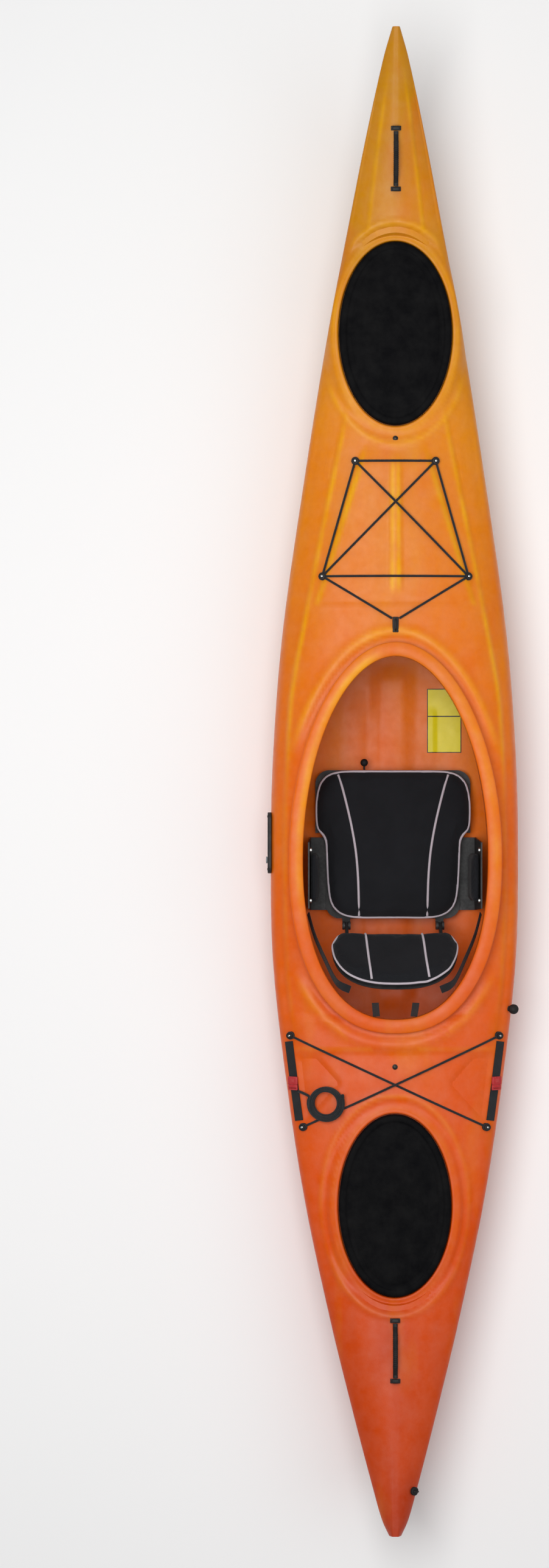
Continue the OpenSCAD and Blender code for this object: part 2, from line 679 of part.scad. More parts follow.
// Foot braces: a rail on each side with a sliding pedal.
rail_height = 22;
rail_depth = 10;
pedal_gap = 0.6;
pedal_raise = 30;
pedal_start = rail_run * 0.5;
module foot_rail() {
    rail_frame() difference() {
        union() {
            translate([0, -rail_stand - rail_depth, -rail_height / 2])
                cube([rail_run, rail_depth, rail_height]);
            for (x = [screw_inset, rail_run - screw_inset])
                translate([x, -rail_stand - 1, 0]) rod_y(6, rail_stand - 3.6);
        }
        for (x = [screw_inset, rail_run - screw_inset])
            translate([x, -rail_stand - 6, 0]) rod_y(screw_r, 40);
    }
}
module foot_rail_port() color("#3a3a3e") foot_rail();
module foot_rail_starboard() color("#3a3a3e") mirror([0, 1, 0]) foot_rail();
module foot_pedal() {
    inner = rail_height / 2 + pedal_gap;
    face = -rail_stand - rail_depth - pedal_gap;
    rail_frame() translate([pedal_start, 0, 0]) union() {
        difference() {
            translate([-28, face - 8, -inner - 5]) cube([56, 8 + rail_depth + 6, 2 * inner + 10]);
            translate([-30, face, -inner]) cube([60, rail_depth + 2 * pedal_gap, 2 * inner]);
            translate([-30, face, -inner + 4]) cube([60, 60, 2 * inner - 8]);
        }
        translate([-8, face - 8 - pedal_width, pedal_raise - pedal_height / 2])
            cube([8, pedal_width + 4, pedal_height]);
    }
}
module foot_pedal_port() color("#1f1f22") foot_pedal();
module foot_pedal_starboard() color("#1f1f22") mirror([0, 1, 0]) foot_pedal();
module foot_rail_screws() {
    color("#2a2a2c") both() rail_frame() for (x = [screw_inset, rail_run - screw_inset]) {
        outside = wall + 3.4;
        translate([x, -rail_stand - 5, 0]) rod_y(screw_r - 0.1, rail_stand + 5 + outside);
        translate([x, outside, 0]) rod_y(5.5, 3);
    }
}

// Carry handles: an arched grip swinging on two pins.
handle_pin_r = 3;
anchor_length = 22;
grip_end = handle_span / 2 - 12;
grip_radius = (grip_end ^ 2 + handle_rise ^ 2) / (2 * handle_rise);
grip_angle = 2 * asin(grip_end / grip_radius);
handle_lift = 9;
function handle_slope(x) = atan((deck(x - handle_span / 2) - deck(x + handle_span / 2)) / handle_span);
module handle_frame(x) {
    low = (deck(x - handle_span / 2) + deck(x + handle_span / 2)) / 2;
    translate([x, 0, low + handle_lift]) rotate([0, handle_slope(x), 0]) children();
}
module handle(x) {
    handle_frame(x) difference() {
        union() {
            translate([0, 0, handle_rise - grip_radius])
                rotate([90, 0, 0])
                    rotate([0, 0, 90 - grip_angle / 2])
                        rotate_extrude(angle = grip_angle, $fn = 96)
                            translate([grip_radius, 0]) circle(r = handle_r, $fn = fine);
            for (e = [-1, 1])
                translate([e * grip_end, 0, 0]) rotate([0, e * 90, 0]) translate([0, 0, -6]) rod(6.2, 15);
        }
        for (e = [-1, 1])
            translate([e * (grip_end - 4), 0, 0]) rotate([0, e * 90, 0]) rod(handle_pin_r + pin_gap, 20);
    }
}
module handle_anchors(x) {
    handle_frame(x) for (e = [-1, 1]) {
        translate([e * (grip_end - 3), 0, 0]) rotate([0, e * 90, 0]) rod(handle_pin_r, 16);
        translate([e * (grip_end + 10 + 6), 0, 4.2 - handle_lift / 2])
            cube([12, 20, handle_lift + 8], center = true);
        translate([e * (grip_end + 10 + 6), 0, -handle_lift + 2.2]) cube([12, 26, 4], center = true);
    }
}
module bow_handle() color(black) handle(bow_handle_x);
module stern_handle() color(black) handle(stern_handle_x);
module bow_handle_anchors() color("#2a2a2c") handle_anchors(bow_handle_x);
module stern_handle_anchors() color("#2a2a2c") handle_anchors(stern_handle_x);

// Buttons that the bungees hook on.
// Each row is a place and the lift that clears the deck's facets there.
FORE_BUTTONS = [[828, 102, 0], [532, 185, 0]];
AFT_BUTTONS = [[-648, 266, 0.5], [-884, 234, 0]];
PAD_EYE = [408, 0];
cord_lift = 8;
post_r = 4.5;
module button(p) {
    on_deck(p[0], p[1], p[2]) difference() {
        union() {
            rod(10, 2);
            rod(post_r, button_height);
            translate([0, 0, button_height - 3]) rod(8.5, 3);
        }
        translate([0, 0, button_height - 1.5]) rod(3.4, 2);
    }
}
module foredeck_buttons() color(black) both() for (p = FORE_BUTTONS) button(p);
module aftdeck_buttons() color(black) both() for (p = AFT_BUTTONS) button(p);
module fitting_screws() {
    color("silver") both() for (p = concat(FORE_BUTTONS, AFT_BUTTONS))
        on_deck(p[0], p[1], p[2] + button_height - 1.4) rod(3.2, 1.2);
}
module centre_pad_eye() {
    color(black) on_deck(PAD_EYE[0], PAD_EYE[1]) union() {
        translate([-20, -8, 0]) cube([40, 16, 4]);
        for (e = [-1, 1]) translate([e * 13, 0, 3]) rod(4, 8);
        translate([0, 0, 11]) rotate([90, 0, 0]) translate([-17, 0, -4]) cube([34, 4, 8]);
    }
}

// A span of bungee between two places on the deck, held off it and over the other span.
function held(p) = let (n = deck_normal(p[0], p[1]), own_lift = len(p) > 2 ? p[2] : 0)
    [p[0], p[1], deck_z(p[0], p[1])] + (own_lift + cord_lift) * n;
function span(a, b, steps, over = 0) = let (p = held(a), q = held(b), run = q - p,
        cut = (post_r + 1) / norm(run))
    [for (i = [0:steps]) let (t = cut + (1 - 2 * cut) * i / steps, m = p + t * run,
        bump = over * max(0, 1 - (abs(t - 0.5) / 0.34) ^ 2),
        near_post = max(0, 1 - min(t, 1 - t) * norm(run) / 24),
        lift = bungee_r + 0.7 + (cord_lift - bungee_r - 1.2) * near_post,
        z = max(m[2], deck_z(m[0], m[1]) + lift / deck_normal(m[0], m[1])[2]) + bump)
        [m[0], m[1], z]];
function port(p) = p;
function starboard(p) = [p[0], -p[1], p[2]];
cross_over = 2 * bungee_r + 1;
module front_bungee() {
    upper = FORE_BUTTONS[0];
    lower = FORE_BUTTONS[1];
    color("#141416") {
        cord(span(port(upper), starboard(upper), 6), bungee_r);
        cord(span(port(lower), starboard(lower), 10, 0), bungee_r);
        cord(span(port(lower), starboard(upper), 10, 0), bungee_r);
        cord(span(starboard(lower), port(upper), 14, cross_over), bungee_r);
        both() cord(span(port(lower), port(upper), 8), bungee_r);
        both() cord(span(port(lower), [PAD_EYE[0] + 16, 3], 6), bungee_r);
    }
}
module aft_bungee() {
    color("#141416") {
        cord(span(port(AFT_BUTTONS[0]), starboard(AFT_BUTTONS[1]), 14), bungee_r);
        cord(span(starboard(AFT_BUTTONS[0]), port(AFT_BUTTONS[1]), 18, cross_over), bungee_r);
    }
}

// Screws that pin the bulkheads through the deck, and the vent knob aft.
module bulkhead_screws() {
    color("#2a1a14") for (x = [bow_bulkhead_x, stern_bulkhead_x])
        on_deck(x - 4, 0, 0.1) union() {
            rod(7, 3);
            rod(3.5, 6);
        }
}

// Webbing along each gunwale with a buckle, and the coiled tail on the port side.
webbing_share = 0.965;
WEBBING_X = [-664, -700, -735, -770, -805, -840, -868];
function webbing_point(x) = let (y = breadth(x) * webbing_share - webbing_width * 0.42, n = deck_normal(x, y))
    [x, y, deck_z(x, y)] + 0.6 * n;
module gunwale_strap() {
    strap([for (x = WEBBING_X) webbing_point(x)],
        [for (x = WEBBING_X) deck_normal(x, webbing_point(x)[1])], webbing_width, webbing_thickness);
}
module gunwale_strap_port() color("#161618") gunwale_strap();
module gunwale_strap_starboard() color("#161618") mirror([0, 1, 0]) gunwale_strap();
buckle_x = -772;
module strap_buckles() {
    p = webbing_point(buckle_x);
    color("#b5222b") both() on_deck(p[0], p[1], webbing_thickness + 1)
        translate([-18, -webbing_width / 2 - 2, 0]) cube([36, webbing_width + 4, 8]);
}
coil_x = -822;
coil_y = 178;
coil_height = 20;
module strap_coil() {
    color("#161618") on_deck(coil_x, coil_y, cord_lift + bungee_r - 4.1)
        rotate_extrude($fn = 64) translate([coil_r - 24, 0]) square([24, coil_height]);
}

// Ball on the starboard gunwale that keeps a paddle leash.
module deck_toggle() {
    color("#161618") mirror([0, 1, 0]) on_deck(-580, 296, 0.3) union() {
        translate([0, 0, 13.4]) sphere(r = 13, $fn = fine);
        rod(5, 8);
    }
}

// Drain plug near the stern, in its seat.
module drain_seat() {
    color("#2a2a2c") drain_frame() translate([0, 0, -6.5]) difference() {
        rod(drain_shank_r + 0.3, 9);
        translate([0, 0, -1]) rod(drain_shank_r - 1, 12);
    }
}
module drain_plug() {
    color(black) drain_frame() union() {
        translate([0, 0, 2.8]) rod(drain_r, 8);
        translate([0, 0, -6]) rod(drain_shank_r - 1.5, 10);
        translate([-drain_r * 0.8, -2, 9]) cube([drain_r * 1.6, 4, 7]);
    }
}

hull_shell();
bow_bulkhead();
stern_bulkhead();
bow_hatch_cover();
stern_hatch_cover();
skeg_box();
skeg_blade();
skeg_pin();
skeg_conduit();
slider_housing();
slider_knob();
seat_pan();
seat_cushion();
seat_side_plates();
seat_bolts();
hip_pad_port();
hip_pad_starboard();
seat_toggle();
backrest_plate();
backrest_pad();
backrest_pins();
backrest_straps();
foot_rail_port();
foot_rail_starboard();
foot_pedal_port();
foot_pedal_starboard();
foot_rail_screws();
bow_handle();
stern_handle();
bow_handle_anchors();
stern_handle_anchors();
foredeck_buttons();
centre_pad_eye();
aftdeck_buttons();
fitting_screws();
front_bungee();
aft_bungee();
bulkhead_screws();
gunwale_strap_port();
gunwale_strap_starboard();
strap_buckles();
strap_coil();
deck_toggle();
drain_plug();
drain_seat();
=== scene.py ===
"""Looks of a day-touring kayak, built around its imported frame.

The frame is loaded first. Each operator then models one piece, or one group of like pieces, in
millimetres on the hull's own lines, and hands it over in metres at the origin. +X is the bow, +Y is
port, +Z is up, and the keel's flat lies on Z = 0.
"""

import math

import bmesh
import bpy
from mathutils import Matrix, Vector, noise
from mathutils.bvhtree import BVHTree


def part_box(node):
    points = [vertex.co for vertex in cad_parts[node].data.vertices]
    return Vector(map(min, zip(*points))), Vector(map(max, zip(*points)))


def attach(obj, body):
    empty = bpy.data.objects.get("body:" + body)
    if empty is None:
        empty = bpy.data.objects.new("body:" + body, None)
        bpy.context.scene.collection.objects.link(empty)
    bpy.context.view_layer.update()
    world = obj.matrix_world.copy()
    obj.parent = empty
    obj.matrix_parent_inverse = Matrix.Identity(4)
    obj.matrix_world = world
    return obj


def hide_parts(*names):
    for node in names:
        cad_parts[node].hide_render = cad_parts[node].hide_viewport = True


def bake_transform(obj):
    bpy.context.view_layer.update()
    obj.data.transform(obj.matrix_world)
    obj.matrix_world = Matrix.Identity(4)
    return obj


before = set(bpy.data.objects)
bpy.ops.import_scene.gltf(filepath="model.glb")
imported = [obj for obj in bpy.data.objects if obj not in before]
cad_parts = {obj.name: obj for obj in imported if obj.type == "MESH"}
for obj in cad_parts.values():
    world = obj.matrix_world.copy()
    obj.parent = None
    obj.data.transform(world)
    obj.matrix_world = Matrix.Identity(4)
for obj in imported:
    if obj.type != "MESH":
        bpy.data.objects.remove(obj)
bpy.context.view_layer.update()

bl_info = {
    "name": "Touring Kayak Looks",
    "version": (1, 0, 0),
    "blender": (4, 5, 0),
    "location": "View3D > Sidebar > Kayak",
    "description": "Models the visible pieces of a touring kayak around its packed frame",
    "category": "Object",
}

MM = 0.001


# ---------------------------------------------------------------- settings


def srgb(text):
    """A linear colour from a two-digits-a-channel colour code."""
    parts = [int(text[i : i + 2], 16) / 255 for i in (1, 3, 5)]
    return [c / 12.92 if c <= 0.04045 else ((c + 0.055) / 1.055) ** 2.4 for c in parts]


def colour(name, text, description):
    return bpy.props.FloatVectorProperty(
        name=name,
        description=description,
        default=srgb(text),
        min=0,
        max=1,
        size=3,
        subtype="COLOR",
    )


def length(name, millimetres, description):
    return bpy.props.FloatProperty(
        name=name,
        description=description,
        default=millimetres * MM,
        min=0,
        unit="LENGTH",
        precision=4,
    )


class KayakSizes(bpy.types.PropertyGroup):
    lip_crown: length("Lip crown", 2.0, "How far the coaming's lip swells above its edges")
    panel_rise: length("Deck panel rise", 6.0, "Step of the raised foredeck panel")
    chine_drop: length("Deck chine drop", 5.0, "Step of the long chines along the deck")
    collar_depth: length("Hatch collar depth", 12.0, "Drop from a hatch cover's top to its rim")
    piping_radius: length("Piping radius", 3.0, "Radius of the piping sewn on the seat")
    cushion_swell: length("Cushion swell", 9.0, "Most that a cushion's fill pushes its cover out")
    bungee_radius: length("Bungee radius", 3.0, "Radius of the deck bungees")
    weave_pitch: length("Weave pitch", 2.2, "Distance between two threads of the seat's cloth")
    camera_distance: length("Camera distance", 12000.0, "Distance from the deck to the camera")


class KayakColours(bpy.types.PropertyGroup):
    bow: colour("Bow", "#c58406", "Golden yellow of the hull's bow")
    foredeck: colour("Foredeck", "#e3880c", "Hull ahead of the cockpit")
    midships: colour("Midships", "#e86a0c", "Hull beside the cockpit")
    aftdeck: colour("Aft deck", "#dc4e04", "Hull behind the cockpit")
    stern: colour("Stern", "#b23200", "Red orange of the hull's stern")
    # Painted highlight: yellow laid along the deck's ridges, chines and rims, where light would catch them.
    ridge_highlight: colour("Ridge highlights", "#f7b400", "Yellow that shows along the deck's ridges")
    cover: colour("Hatch covers", "#08080a", "Rubber of the hatch covers")
    plastic: colour("Black plastic", "#131416", "Moulded plastic of the fittings")
    cloth: colour("Seat cloth", "#0f1014", "Cloth of the seat and its backrest")
    piping: colour("Piping", "#d9cdd6", "Piping sewn along the seat's edges")
    buckle: colour("Buckles", "#b3121f", "Plastic of the webbing's buckles")
    label: colour("Label", "#e6d810", "Blank vinyl label on the cockpit's floor")


def sizes():
    return bpy.context.scene.kayak_sizes


def colours():
    return bpy.context.scene.kayak_colours


# ---------------------------------------------------------------- lines of the hull, in millimetres

HALF = 1930.0
BEAM = 640.0
WALL = 5.0
BOW_HEIGHT = 383.0
STERN_HEIGHT = 305.0
FOREDECK = 318.0
AFTDECK = 262.0
SHEER_HEIGHT = 190.0
KEEL_HALF = 40.0

BREADTH = [
    (0, 0.03), (0.02, 0.1), (0.07, 0.235), (0.12, 0.355), (0.2, 0.54), (0.3, 0.735),
    (0.4, 0.905), (0.48, 0.98), (0.55, 1), (0.62, 0.98), (0.7, 0.872), (0.78, 0.722),
    (0.86, 0.515), (0.92, 0.335), (0.97, 0.175), (0.99, 0.105), (1, 0.05),
]
KEEL = [
    (0, BOW_HEIGHT - 14), (0.012, BOW_HEIGHT - 58), (0.028, BOW_HEIGHT - 113), (0.06, 162),
    (0.085, 101), (0.115, 68), (0.16, 56), (0.22, 39), (0.3, 19), (0.38, 7), (0.44, 0),
    (0.55, 0), (0.64, 0), (0.74, 11), (0.85, 24), (0.93, 38), (0.952, 50), (0.966, 82),
    (0.98, 142), (1, STERN_HEIGHT - 55),
]
SHEER = [
    (0, BOW_HEIGHT - 7), (0.03, BOW_HEIGHT - 30), (0.1, 302), (0.2, 254), (0.3, 226),
    (0.4, SHEER_HEIGHT + 18), (0.5, SHEER_HEIGHT + 6), (0.6, SHEER_HEIGHT),
    (0.7, SHEER_HEIGHT + 2), (0.8, 206), (0.9, 236), (0.97, 268), (1, STERN_HEIGHT - 22),
]
DECK = [
    (0, BOW_HEIGHT), (0.06, BOW_HEIGHT - 19), (0.12, 331), (0.15, 314), (0.2, 304), (0.28, 306),
    (0.34, FOREDECK - 6), (0.4, FOREDECK), (0.46, FOREDECK), (0.52, 304), (0.58, 288),
    (0.64, AFTDECK + 4), (0.7, AFTDECK), (0.78, 257), (0.84, 272), (0.9, 290),
    (0.97, STERN_HEIGHT - 2), (1, STERN_HEIGHT),
]
BOTTOM_FULLNESS = [
    (0, 1.2), (0.1, 1.3), (0.25, 1.9), (0.45, 2.6), (0.62, 2.6), (0.8, 1.9), (0.92, 1.35), (1, 1.2),
]
DECK_FULLNESS = [
    (0, 1.3), (0.12, 1.6), (0.2, 2.4), (0.28, 2.1), (0.4, 2.3), (0.48, 2.7), (0.6, 2.7),
    (0.68, 2.3), (0.78, 2.6), (0.87, 1.7), (1, 1.3),
]
KEEL_FLAT = [
    (0, 0.12), (0.1, 0.16), (0.3, 0.5), (0.44, 1), (0.64, 1), (0.8, 0.5), (0.93, 0.2), (1, 0.16),
]


def curve(table, s):
    """A smooth curve through the rows of a table."""
    last = len(table) - 1
    i = 0
    while i < last - 1 and s >= table[i + 1][0]:
        i += 1

    def steep(k):
        a, b = max(k - 1, 0), min(k + 1, last)
        return (table[b][1] - table[a][1]) / (table[b][0] - table[a][0])

    h = table[i + 1][0] - table[i][0]
    u = (s - table[i][0]) / h
    return (
        (2 * u**3 - 3 * u**2 + 1) * table[i][1]
        + (u**3 - 2 * u**2 + u) * h * steep(i)
        + (3 * u**2 - 2 * u**3) * table[i + 1][1]
        + (u**3 - u**2) * h * steep(i + 1)
    )


def share(x):
    return min(1, max(0, 0.5 - x / (2 * HALF)))


def breadth(x):
    return BEAM / 2 * curve(BREADTH, share(x))


def keel(x):
    return max(0, curve(KEEL, share(x)))


def sheer(x):
    return curve(SHEER, share(x))


def deck(x):
    return curve(DECK, share(x))


def flat(x):
    return max(2, KEEL_HALF * curve(KEEL_FLAT, share(x)))


def across(x, y, inset):
    """How far a place lies from the keel's flat to the gunwale, from 0 to 1."""
    f = flat(x)
    return min(1, max(0, (abs(y) - f) / max(0.5, breadth(x) - inset - f)))


def deck_z(x, y, inset=0.0):
    n = curve(DECK_FULLNESS, share(x))
    h = sheer(x)
    return h + (deck(x) - inset - h) * (1 - across(x, y, inset) ** n) ** (1 / n)


def floor_z(x, y, inset=0.0):
    n = curve(BOTTOM_FULLNESS, share(x))
    h = sheer(x)
    return h - (h - keel(x) - inset) * (1 - across(x, y, inset) ** n) ** (1 / n)


def deck_normal(x, y):
    return Vector(
        (deck_z(x - 5, y) - deck_z(x + 5, y), deck_z(x, y - 5) - deck_z(x, y + 5), 10)
    ).normalized()


def on_deck(x, y, lift=0.0):
    """The frame of a fitting that stands square on the deck."""
    n = deck_normal(x, y)
    turn = Matrix.Rotation(math.atan2(n.y, n.x), 4, "Z") @ Matrix.Rotation(math.acos(n.z), 4, "Y")
    return Matrix.Translation((x, y, deck_z(x, y))) @ turn @ Matrix.Translation((0, 0, lift))


# The cockpit's opening and the hatches.
OPENING_FRONT, OPENING_REAR, OPENING_MIDDLE = 327.0, -605.0, -190.0
OPENING_HALF_WIDTH = 237.0
OPENING_FRONT_N, OPENING_REAR_N = 1.95, 2.3
LIP_WIDTH, LIP_THICKNESS = 36.0, 5.0
COAMING_FRONT, COAMING_REAR = 346.0, 281.0
HATCHES = {"bow": (1155.0, 315.0), "stern": (-1085.0, 273.0)}
COVER_HALF_LENGTH, COVER_HALF_WIDTH = 235.0, 144.5
COVER_SKIRT, COVER_THICKNESS = 25.0, 5.0


def power(v, e):
    return math.copysign(abs(v) ** e, v)


def opening_point(a, r=0.0):
    """A point on the cockpit's outline moved outwards by r, at the outline's angle a."""
    front = math.cos(a) >= 0
    n = OPENING_FRONT_N if front else OPENING_REAR_N
    reach = OPENING_FRONT - OPENING_MIDDLE if front else OPENING_MIDDLE - OPENING_REAR
    return (
        OPENING_MIDDLE + (reach + r) * power(math.cos(a), 2 / n),
        (OPENING_HALF_WIDTH + r) * power(math.sin(a), 2 / n),
    )


def opening_angle(x, y, r=0.0):
    front = x >= OPENING_MIDDLE
    n = OPENING_FRONT_N if front else OPENING_REAR_N
    reach = OPENING_FRONT - OPENING_MIDDLE if front else OPENING_MIDDLE - OPENING_REAR
    return math.atan2(
        power(y / (OPENING_HALF_WIDTH + r), n / 2), power((x - OPENING_MIDDLE) / (reach + r), n / 2)
    )


def opening_reach(x, y):
    """How far a place lies outside the cockpit's outline, below 0 inside it."""
    front = x >= OPENING_MIDDLE
    n = OPENING_FRONT_N if front else OPENING_REAR_N
    reach = OPENING_FRONT - OPENING_MIDDLE if front else OPENING_MIDDLE - OPENING_REAR
    low, high = -200.0, 1500.0
    for _ in range(18):
        r = (low + high) / 2
        if (abs(x - OPENING_MIDDLE) / (reach + r)) ** n + (abs(y) / (OPENING_HALF_WIDTH + r)) ** n > 1:
            low = r
        else:
            high = r
    return high


def coaming_top(x):
    full = OPENING_FRONT - OPENING_REAR + 2 * LIP_WIDTH
    u = min(1, max(0, (OPENING_FRONT + LIP_WIDTH - x) / full))
    return COAMING_FRONT - (COAMING_FRONT - COAMING_REAR) * u**1.3


def hatch_point(hatch, a, r=0.0):
    return (
        HATCHES[hatch][0] + (COVER_HALF_LENGTH + r) * math.cos(a),
        (COVER_HALF_WIDTH + r) * math.sin(a),
    )


def hatch_angle(hatch, x, y, r=0.0):
    return math.atan2(y / (COVER_HALF_WIDTH + r), (x - HATCHES[hatch][0]) / (COVER_HALF_LENGTH + r))


def hatch_reach(hatch, x, y):
    """How far a place lies outside a hatch cover's edge, below 0 inside it."""
    dx, dy = x - HATCHES[hatch][0], y
    k = math.hypot(dx / COVER_HALF_LENGTH, dy / COVER_HALF_WIDTH)
    if k < 1e-6:
        return -COVER_HALF_WIDTH
    a = math.atan2(dy / COVER_HALF_WIDTH, dx / COVER_HALF_LENGTH)
    edge = math.hypot(COVER_HALF_LENGTH * math.cos(a), COVER_HALF_WIDTH * math.sin(a))
    slant = math.hypot(math.cos(a) / COVER_HALF_LENGTH, math.sin(a) / COVER_HALF_WIDTH) * edge
    return (k - 1) * edge / slant


# ---------------------------------------------------------------- relief of the deck


def rise(a, b, v):
    """A soft step from 0 at a to 1 at b."""
    t = min(1, max(0, (v - a) / (b - a)))
    return t * t * (3 - 2 * t)


def hump(v, width):
    return math.exp(-((v / width) ** 2))


CHINE = [
    (-900, 232), (-650, 262), (-500, 280), (-200, 288), (195, 274), (400, 240), (671, 187),
    (900, 140), (1000, 122),
]


def relief(x, y):
    """How far the deck stands off its plain lines at a place, and how much painted highlight its crests take
    there.
    """
    s = sizes()
    b = breadth(x)
    v = abs(y)
    # The second value is painted highlight: yellow along the crests of the relief, where light would catch
    # them.
    off, ridge_highlight = 0.0, 0.0
    edge = 1 - rise(0.9, 0.99, v / b)
    if 380 < x < 900:
        # The raised panel under the front bungees, and the ridge along its middle.
        fade = rise(452, 470, x) * (1 - rise(815, 880, x))
        side = 90 + (828 - x) * 0.31
        off += s.panel_rise / MM * fade * (1 - rise(-8, 6, v - side))
        ridge_highlight += fade * hump(v - side + 3, 7)
        ridge = rise(478, 520, x) * (1 - rise(800, 850, x))
        off += 4.5 * ridge * (1 - rise(8, 17, v))
        ridge_highlight += 0.9 * ridge * (hump(v - 8, 5) + 0.4 * hump(v, 12))
    if -900 < x < 1000:
        side = curve(CHINE, x)
        fade = rise(-700, -520, x) * (1 - rise(860, 1000, x))
        off -= s.chine_drop / MM * fade * rise(-7, 7, v - side) * edge
        ridge_highlight += 0.8 * fade * hump(v - side + 5, 6) * (0.35 + 0.65 * rise(-100, 250, x))
    if x > 1395:
        side = 0.6 * b
        fade = rise(1395, 1450, x) * (1 - rise(1700, 1860, x))
        off -= 3.5 * fade * rise(-6, 6, v - side) * edge
        ridge_highlight += 0.5 * fade * hump(v - side + 3, 6)
    if -720 < x < 460:
        # The ring that runs round the coaming ahead of it and behind it.
        r = opening_reach(x, y)
        if r < 130:
            ends = rise(40, 190, x) + rise(-470, -560, x)
            ends = min(1, ends) * (1 - rise(0.86, 0.97, v / b))
            off += ends * (5.5 * hump(r - 66, 15) - 3.5 * hump(r - 44, 8))
            ridge_highlight += 0.6 * ends * hump(r - 66, 9)
    if -900 < x < -600:
        # A step across the aft deck, and a notch at each side behind it.
        middle = 1 - rise(0.78, 0.95, v / b)
        off += 4.5 * middle * rise(-694, -684, x)
        ridge_highlight += 0.4 * middle * hump(x + 684, 5)
        notch = rise(0, 16, v - 132 - 0.9 * abs(x + 772)) * (1 - rise(0.8, 0.93, v / b))
        off -= 6 * notch * rise(-880, -850, x) * (1 - rise(-712, -694, x))
    for name, (at, top) in HATCHES.items():
        if abs(x - at) > 320:
            continue
        r = hatch_reach(name, x, y)
        if r > 75:
            continue
        z = deck_z(x, y) + off
        collar = top - s.collar_depth / MM
        keep = rise(14, 46, r)
        off += (collar - z) * (1 - keep) * (edge if z > collar else 1)
        ring = edge * (1 - rise(0.8, 0.95, v / b))
        off += ring * (3.5 * hump(r - 47, 8) - 3 * hump(r - 31, 6))
        ridge_highlight += 0.5 * ring * hump(r - 47, 6) + 0.35 * hump(r - 14, 8)
    return off * (1 - rise(1800, 1900, abs(x))), min(1, ridge_highlight)


def skin_z(x, y):
    """Height of the finished deck, relief and all."""
    return deck_z(x, y) + relief(x, y)[0]


# The cockpit's floor has a broad middle rib and one at each side.
RIB_HEIGHT = 9.0


def lining_z(x, y):
    z = floor_z(x, y, WALL)
    if not -640 < x < 340:
        return z
    v = abs(y)
    ends = rise(-600, -560, x) * (1 - rise(270, 310, x))
    z += ends * (RIB_HEIGHT + floor_z(x, 44, WALL) - floor_z(x, v, WALL)) * (1 - rise(34, 52, v))
    sides = rise(-540, -500, x) * (1 - rise(170, 210, x))
    return z + sides * 4.5 * rise(66, 76, v) * (1 - rise(106, 118, v))


# ---------------------------------------------------------------- tools for modelling


def edge_pairs(loop, closed=True):
    return list(zip(loop, loop[1:] + (loop[:1] if closed else [])))


def start(bm, points, closed=True):
    """A first line of vertices, for carry() to take further."""
    loop = [bm.verts.new(p) for p in points]
    for pair in edge_pairs(loop, closed):
        bm.edges.new(pair)
    return loop


def carry(bm, loop, points, closed=True):
    """Extrudes a line of vertices, moves the new line to its points and returns it."""
    edges = [bm.edges.get(pair) for pair in edge_pairs(loop, closed)]
    made = bmesh.ops.extrude_edge_only(bm, edges=edges)["geom"]
    fresh = {v for v in made if isinstance(v, bmesh.types.BMVert)}
    line = []
    for vertex, point in zip(loop, points):
        twin = next(e.other_vert(vertex) for e in vertex.link_edges if e.other_vert(vertex) in fresh)
        twin.co = point
        line.append(twin)
    return line


def close(bm, loop):
    bmesh.ops.contextual_create(bm, geom=list(loop))


def loft(bm, rings, caps=True):
    """A skin through closed rings of points. It carries how far along and around each point lies."""
    layer = bm.verts.layers.float_vector.get("run") or bm.verts.layers.float_vector.new("run")
    along, before = 0.0, None
    loop = None
    for ring in rings:
        ring = [Vector(p) for p in ring]
        middle = sum(ring, Vector()) / len(ring)
        along += (middle - before).length if before else 0.0
        before = middle
        line = start(bm, ring) if loop is None else carry(bm, loop, ring)
        around = 0.0
        for i, vertex in enumerate(line):
            vertex[layer] = (along * MM, around * MM, 0)
            around += (ring[(i + 1) % len(ring)] - ring[i]).length
        if loop is None and caps:
            close(bm, line)
        loop = line
    if caps:
        close(bm, loop)
    return loop


def sides(path):
    """At each point of a path: its direction, a level side direction and the one square to both."""
    path = [Vector(p) for p in path]
    found, side = [], None
    for i, p in enumerate(path):
        t = (path[min(i + 1, len(path) - 1)] - path[max(i - 1, 0)]).normalized()
        if side is None:
            side = t.cross(Vector((0, 0, 1)))
            side = side if side.length > 0.05 else t.cross(Vector((0, 1, 0)))
        side = (side - t * side.dot(t)).normalized()
        found.append((p, t, side, side.cross(t)))
    return found


def tube(bm, path, radius, steps=10, caps=True):
    rings = []
    for i, (p, _, u, v) in enumerate(sides(path)):
        r = radius(i / (len(path) - 1)) if callable(radius) else radius
        turns = [2 * math.pi * k / steps for k in range(steps)]
        rings.append([p + r * (math.cos(a) * u + math.sin(a) * v) for a in turns])
    loft(bm, rings, caps)


def strip(bm, path, normals, width, thickness, edge=0.4):
    """A flat strap whose inner face follows a path, with softened edges."""
    rings = []
    points = [Vector(p) for p in path]
    for i, p in enumerate(points):
        t = (points[min(i + 1, len(points) - 1)] - points[max(i - 1, 0)]).normalized()
        n = Vector(normals[i])
        n = (n - t * n.dot(t)).normalized()
        w = t.cross(n)
        half, high = width / 2, thickness
        flat_ring = [
            (-half + edge, 0), (half - edge, 0), (half, high / 2), (half - edge, high),
            (half * 0.4, high + 0.12), (-half * 0.4, high + 0.12), (-half + edge, high),
            (-half, high / 2),
        ]
        rings.append([p + a * w + b * n for a, b in flat_ring])
    loft(bm, rings)


def spline(points, steps):
    """Points along a smooth curve through a few."""
    points = [Vector(p) for p in points]
    found = []
    for i in range(len(points) - 1):
        a, b = points[i], points[i + 1]
        before = points[max(i - 1, 0)]
        after = points[min(i + 2, len(points) - 1)]
        for k in range(steps):
            t = k / steps
            found.append(
                0.5 * (
                    2 * a + (b - before) * t + (2 * before - 5 * a + 4 * b - after) * t**2
                    + (3 * a - before - 3 * b + after) * t**3
                )
            )
    return found + [points[-1]]


